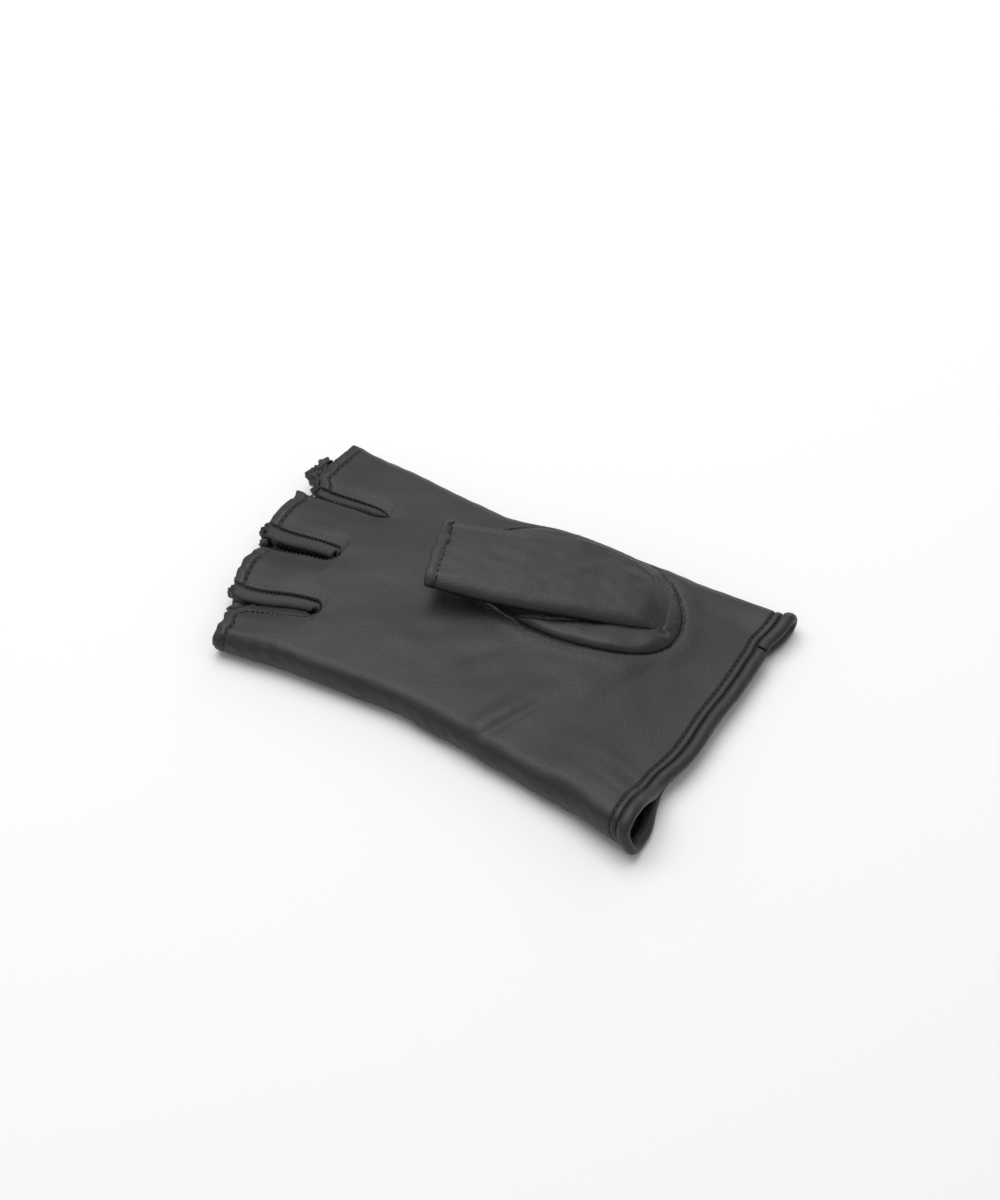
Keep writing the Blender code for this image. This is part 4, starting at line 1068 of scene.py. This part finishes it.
class GLOVE_OT_stitches(bpy.types.Operator):
    """Every seam and hem, stitch by stitch"""
    bl_idname = "glove.stitches"
    bl_label = "Stitches"

    def execute(self, context):
        sizes = context.scene.glove_sizes
        pitch, fine, width = sizes.stitch, sizes.fine_stitch, sizes.thread

        def sew(name, node, path, aims, pitch, length, closed=True, thick=width, body="glove"):
            """Sews one row, which stands for a node of the frame."""
            thread = look("sewing_thread")
            made = stitch_row("glove_" + name, path, aims, pitch, length, thick, closed, thread)
            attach(made, body)
            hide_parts(node)

        for row, along in zip(("inner", "outer"), CUFF_ROWS):
            path, aims = around(along, 2.0)
            path = path + aims * 0.12 * MM
            sew("cuff_stitches_" + row, "cuff_stitch_" + row, path, aims, pitch, pitch * 0.72)
        for number, name in enumerate(GAP_NAMES):
            edge, out, _, curl = gap_walls(number, -HEM - 0.8 * MM)
            radius = curl * MM
            path = edge + out * (radius * 0.85 + 0.12 * MM)[:, None]
            top, bottom = gap_heights(number, edge)
            for side, word in ((1, "palm"), (-1, "back")):
                z = (top if side > 0 else bottom) - side * (radius * 0.5 - 0.02 * MM)
                aims = np.column_stack([out * 0.5, np.full(len(edge), float(side))])
                row = "seam_%s_%s" % (name, word)
                sew(row, row, np.column_stack([path, z]), aims, fine, fine * 0.66, closed=False)
        for number, finger in enumerate(FINGERS):
            path, aims = finger_ring(number, ENDS[number] - HEM)
            sew("hem_" + finger, "hem_stitch_" + finger, path, aims, pitch, pitch * 0.7)
        across, along = oval_outline(np.linspace(0, 2 * math.pi, 240, endpoint=False), 0.0)
        aims = palm_place(across, along, 2 * MM) - palm_place(across, along, 0)
        sew("thumb_setting", "thumb_setting_stitch", palm_place(across, along, -0.8 * MM), aims,
            fine * 1.2, fine * 0.85, thick=width * 0.9)
        along = np.linspace(8 * MM, ENDS[0] - HEM - 1 * MM, 120)
        back, left, _, radius, _ = flat_span(along, ENDS[0] - along)
        cosine, sine = math.cos(SEAM_STITCHES), math.sin(SEAM_STITCHES)
        reach = radius - 0.12 * MM
        path = np.column_stack([left + reach * cosine, along, back + radius + reach * sine])
        aims = np.tile([cosine, 0, sine], (len(along), 1))
        sew("side_seam", "side_seam_stitch", path, aims, pitch, pitch * 0.7, closed=False)
        path = stall_points(np.linspace(24 * MM, THUMB_END - HEM - 1 * MM, 60), np.full(60, math.pi * 1.22))
        path[:, 1] -= CUFF_Y
        aims = np.tile(FOLD_SIDE * 0.5 - np.array([0, 0, 0.8]), (len(path), 1))
        sew("thumb_closing", "thumb_closing_stitch", path, aims, pitch, pitch * 0.7, closed=False,
            body="thumb")
        turns = np.linspace(0, 2 * math.pi, 160, endpoint=False)
        path = stall_points(np.full(len(turns), THUMB_END - HEM), turns)
        path[:, 1] -= CUFF_Y
        level = (-np.cos(turns) * np.abs(np.cos(turns)) ** 6)[:, None]
        aims = FOLD_SIDE * level + np.array([0, 0, 1.0]) * np.sin(turns)[:, None]
        sew("hem_thumb", "hem_stitch_thumb", path, aims, pitch, pitch * 0.7, body="thumb")
        return {"FINISHED"}


FINGER_SHEETS = ((1, 9, 10, 0), (2, 8), (3, 7), (4, 5, 6))      # the sheets that go round each finger


def finger_ring(number, along):
    """Closed path round one finger near its end: palm, gap walls or side edge, and back."""
    sheets = trank_sheets(np.full((1, 4), along), 2.0)
    path = np.concatenate([sheets[k][0][0] for k in FINGER_SHEETS[number]])
    aims = np.concatenate([sheets[k][1][0] for k in FINGER_SHEETS[number]])
    return path, aims


# square lamps that aim at the glove: name, place and width in metres, power in watts
LAMPS = (("over", (0.12, 0.3, 1.1), 1.1, 10.2), ("right", (0.75, 0.1, 0.25), 0.4, 0.7))


class GLOVE_OT_stage(bpy.types.Operator):
    """Pale table, soft lights and the camera"""
    bl_idname = "glove.stage"
    bl_label = "Stage"

    def execute(self, context):
        stage = context.scene.glove_stage
        half = 3.0
        corners = [(-half, -half, 0), (half, -half, 0), (half, half, 0), (-half, half, 0)]
        floor = mesh_object("stage_floor", corners, [(0, 1, 2, 3)], [])
        paper = bpy.data.materials.new("stage_paper")
        paper.use_nodes = True
        shader = paper.node_tree.nodes["Principled BSDF"]
        shader.inputs["Base Color"].default_value = (*stage.floor, 1)
        shader.inputs["Roughness"].default_value = 0.85
        shader.inputs["Specular IOR Level"].default_value = 0.1
        floor.data.materials.append(paper)
        floor.location.z = -0.00005
        world = bpy.data.worlds.new("studio")
        context.scene.world = world
        world.use_nodes = True
        sky = world.node_tree.nodes["Background"].inputs
        sky["Color"].default_value = (1.0, 1.0, 1.0, 1)
        sky["Strength"].default_value = 0.52
        for name, place, width, power in LAMPS:
            lamp = bpy.data.lights.new(name, "AREA")
            lamp.shape = "SQUARE"
            lamp.size = width
            lamp.energy = power
            made = bpy.data.objects.new(name, lamp)
            made.location = place
            made.rotation_euler = (Vector(place)).to_track_quat("Z", "Y").to_euler()
            context.scene.collection.objects.link(made)
        lens = bpy.data.cameras.new("camera")
        lens.lens = stage.lens
        lens.clip_start = 0.01
        camera = bpy.data.objects.new("camera", lens)
        back = Vector((math.sin(stage.azimuth) * math.cos(stage.elevation),
                       -math.cos(stage.azimuth) * math.cos(stage.elevation), math.sin(stage.elevation)))
        camera.location = Vector(stage.target) + back * stage.distance
        camera.rotation_euler = back.to_track_quat("Z", "Y").to_euler()
        context.scene.collection.objects.link(camera)
        context.scene.camera = camera
        context.scene.view_settings.view_transform = "Standard"
        return {"FINISHED"}


class GLOVE_PT_panel(bpy.types.Panel):
    """Sidebar panel with the glove's pieces, sizes and colours"""
    bl_label = "Fingerless glove"
    bl_idname = "GLOVE_PT_panel"
    bl_space_type = "VIEW_3D"
    bl_region_type = "UI"
    bl_category = "Glove"

    def draw(self, context):
        for operator in OPERATORS:
            self.layout.operator(operator.bl_idname)
        for group in (context.scene.glove_sizes, context.scene.glove_colors, context.scene.glove_stage):
            for name in group.__annotations__:
                self.layout.prop(group, name)


OPERATORS = (GLOVE_OT_stage, GLOVE_OT_trank, GLOVE_OT_fourchettes, GLOVE_OT_thumb_base, GLOVE_OT_thumb_stall,
             GLOVE_OT_binding, GLOVE_OT_stitches)
GROUPS = (("glove_sizes", GloveSizes), ("glove_colors", GloveColors), ("glove_stage", GloveStage))


def register():
    for name, group in GROUPS:
        bpy.utils.register_class(group)
        setattr(bpy.types.Scene, name, bpy.props.PointerProperty(type=group))
    for operator in OPERATORS:
        bpy.utils.register_class(operator)
    bpy.utils.register_class(GLOVE_PT_panel)


def unregister():
    bpy.utils.unregister_class(GLOVE_PT_panel)
    for operator in reversed(OPERATORS):
        bpy.utils.unregister_class(operator)
    for name, group in reversed(GROUPS):
        delattr(bpy.types.Scene, name)
        bpy.utils.unregister_class(group)


def main():
    register()
    bpy.ops.glove.stage()
    bpy.ops.glove.trank()
    bpy.ops.glove.fourchettes()
    bpy.ops.glove.thumb_base()
    bpy.ops.glove.thumb_stall()
    bpy.ops.glove.binding()
    bpy.ops.glove.stitches()


if __name__ == "__main__":
    main()
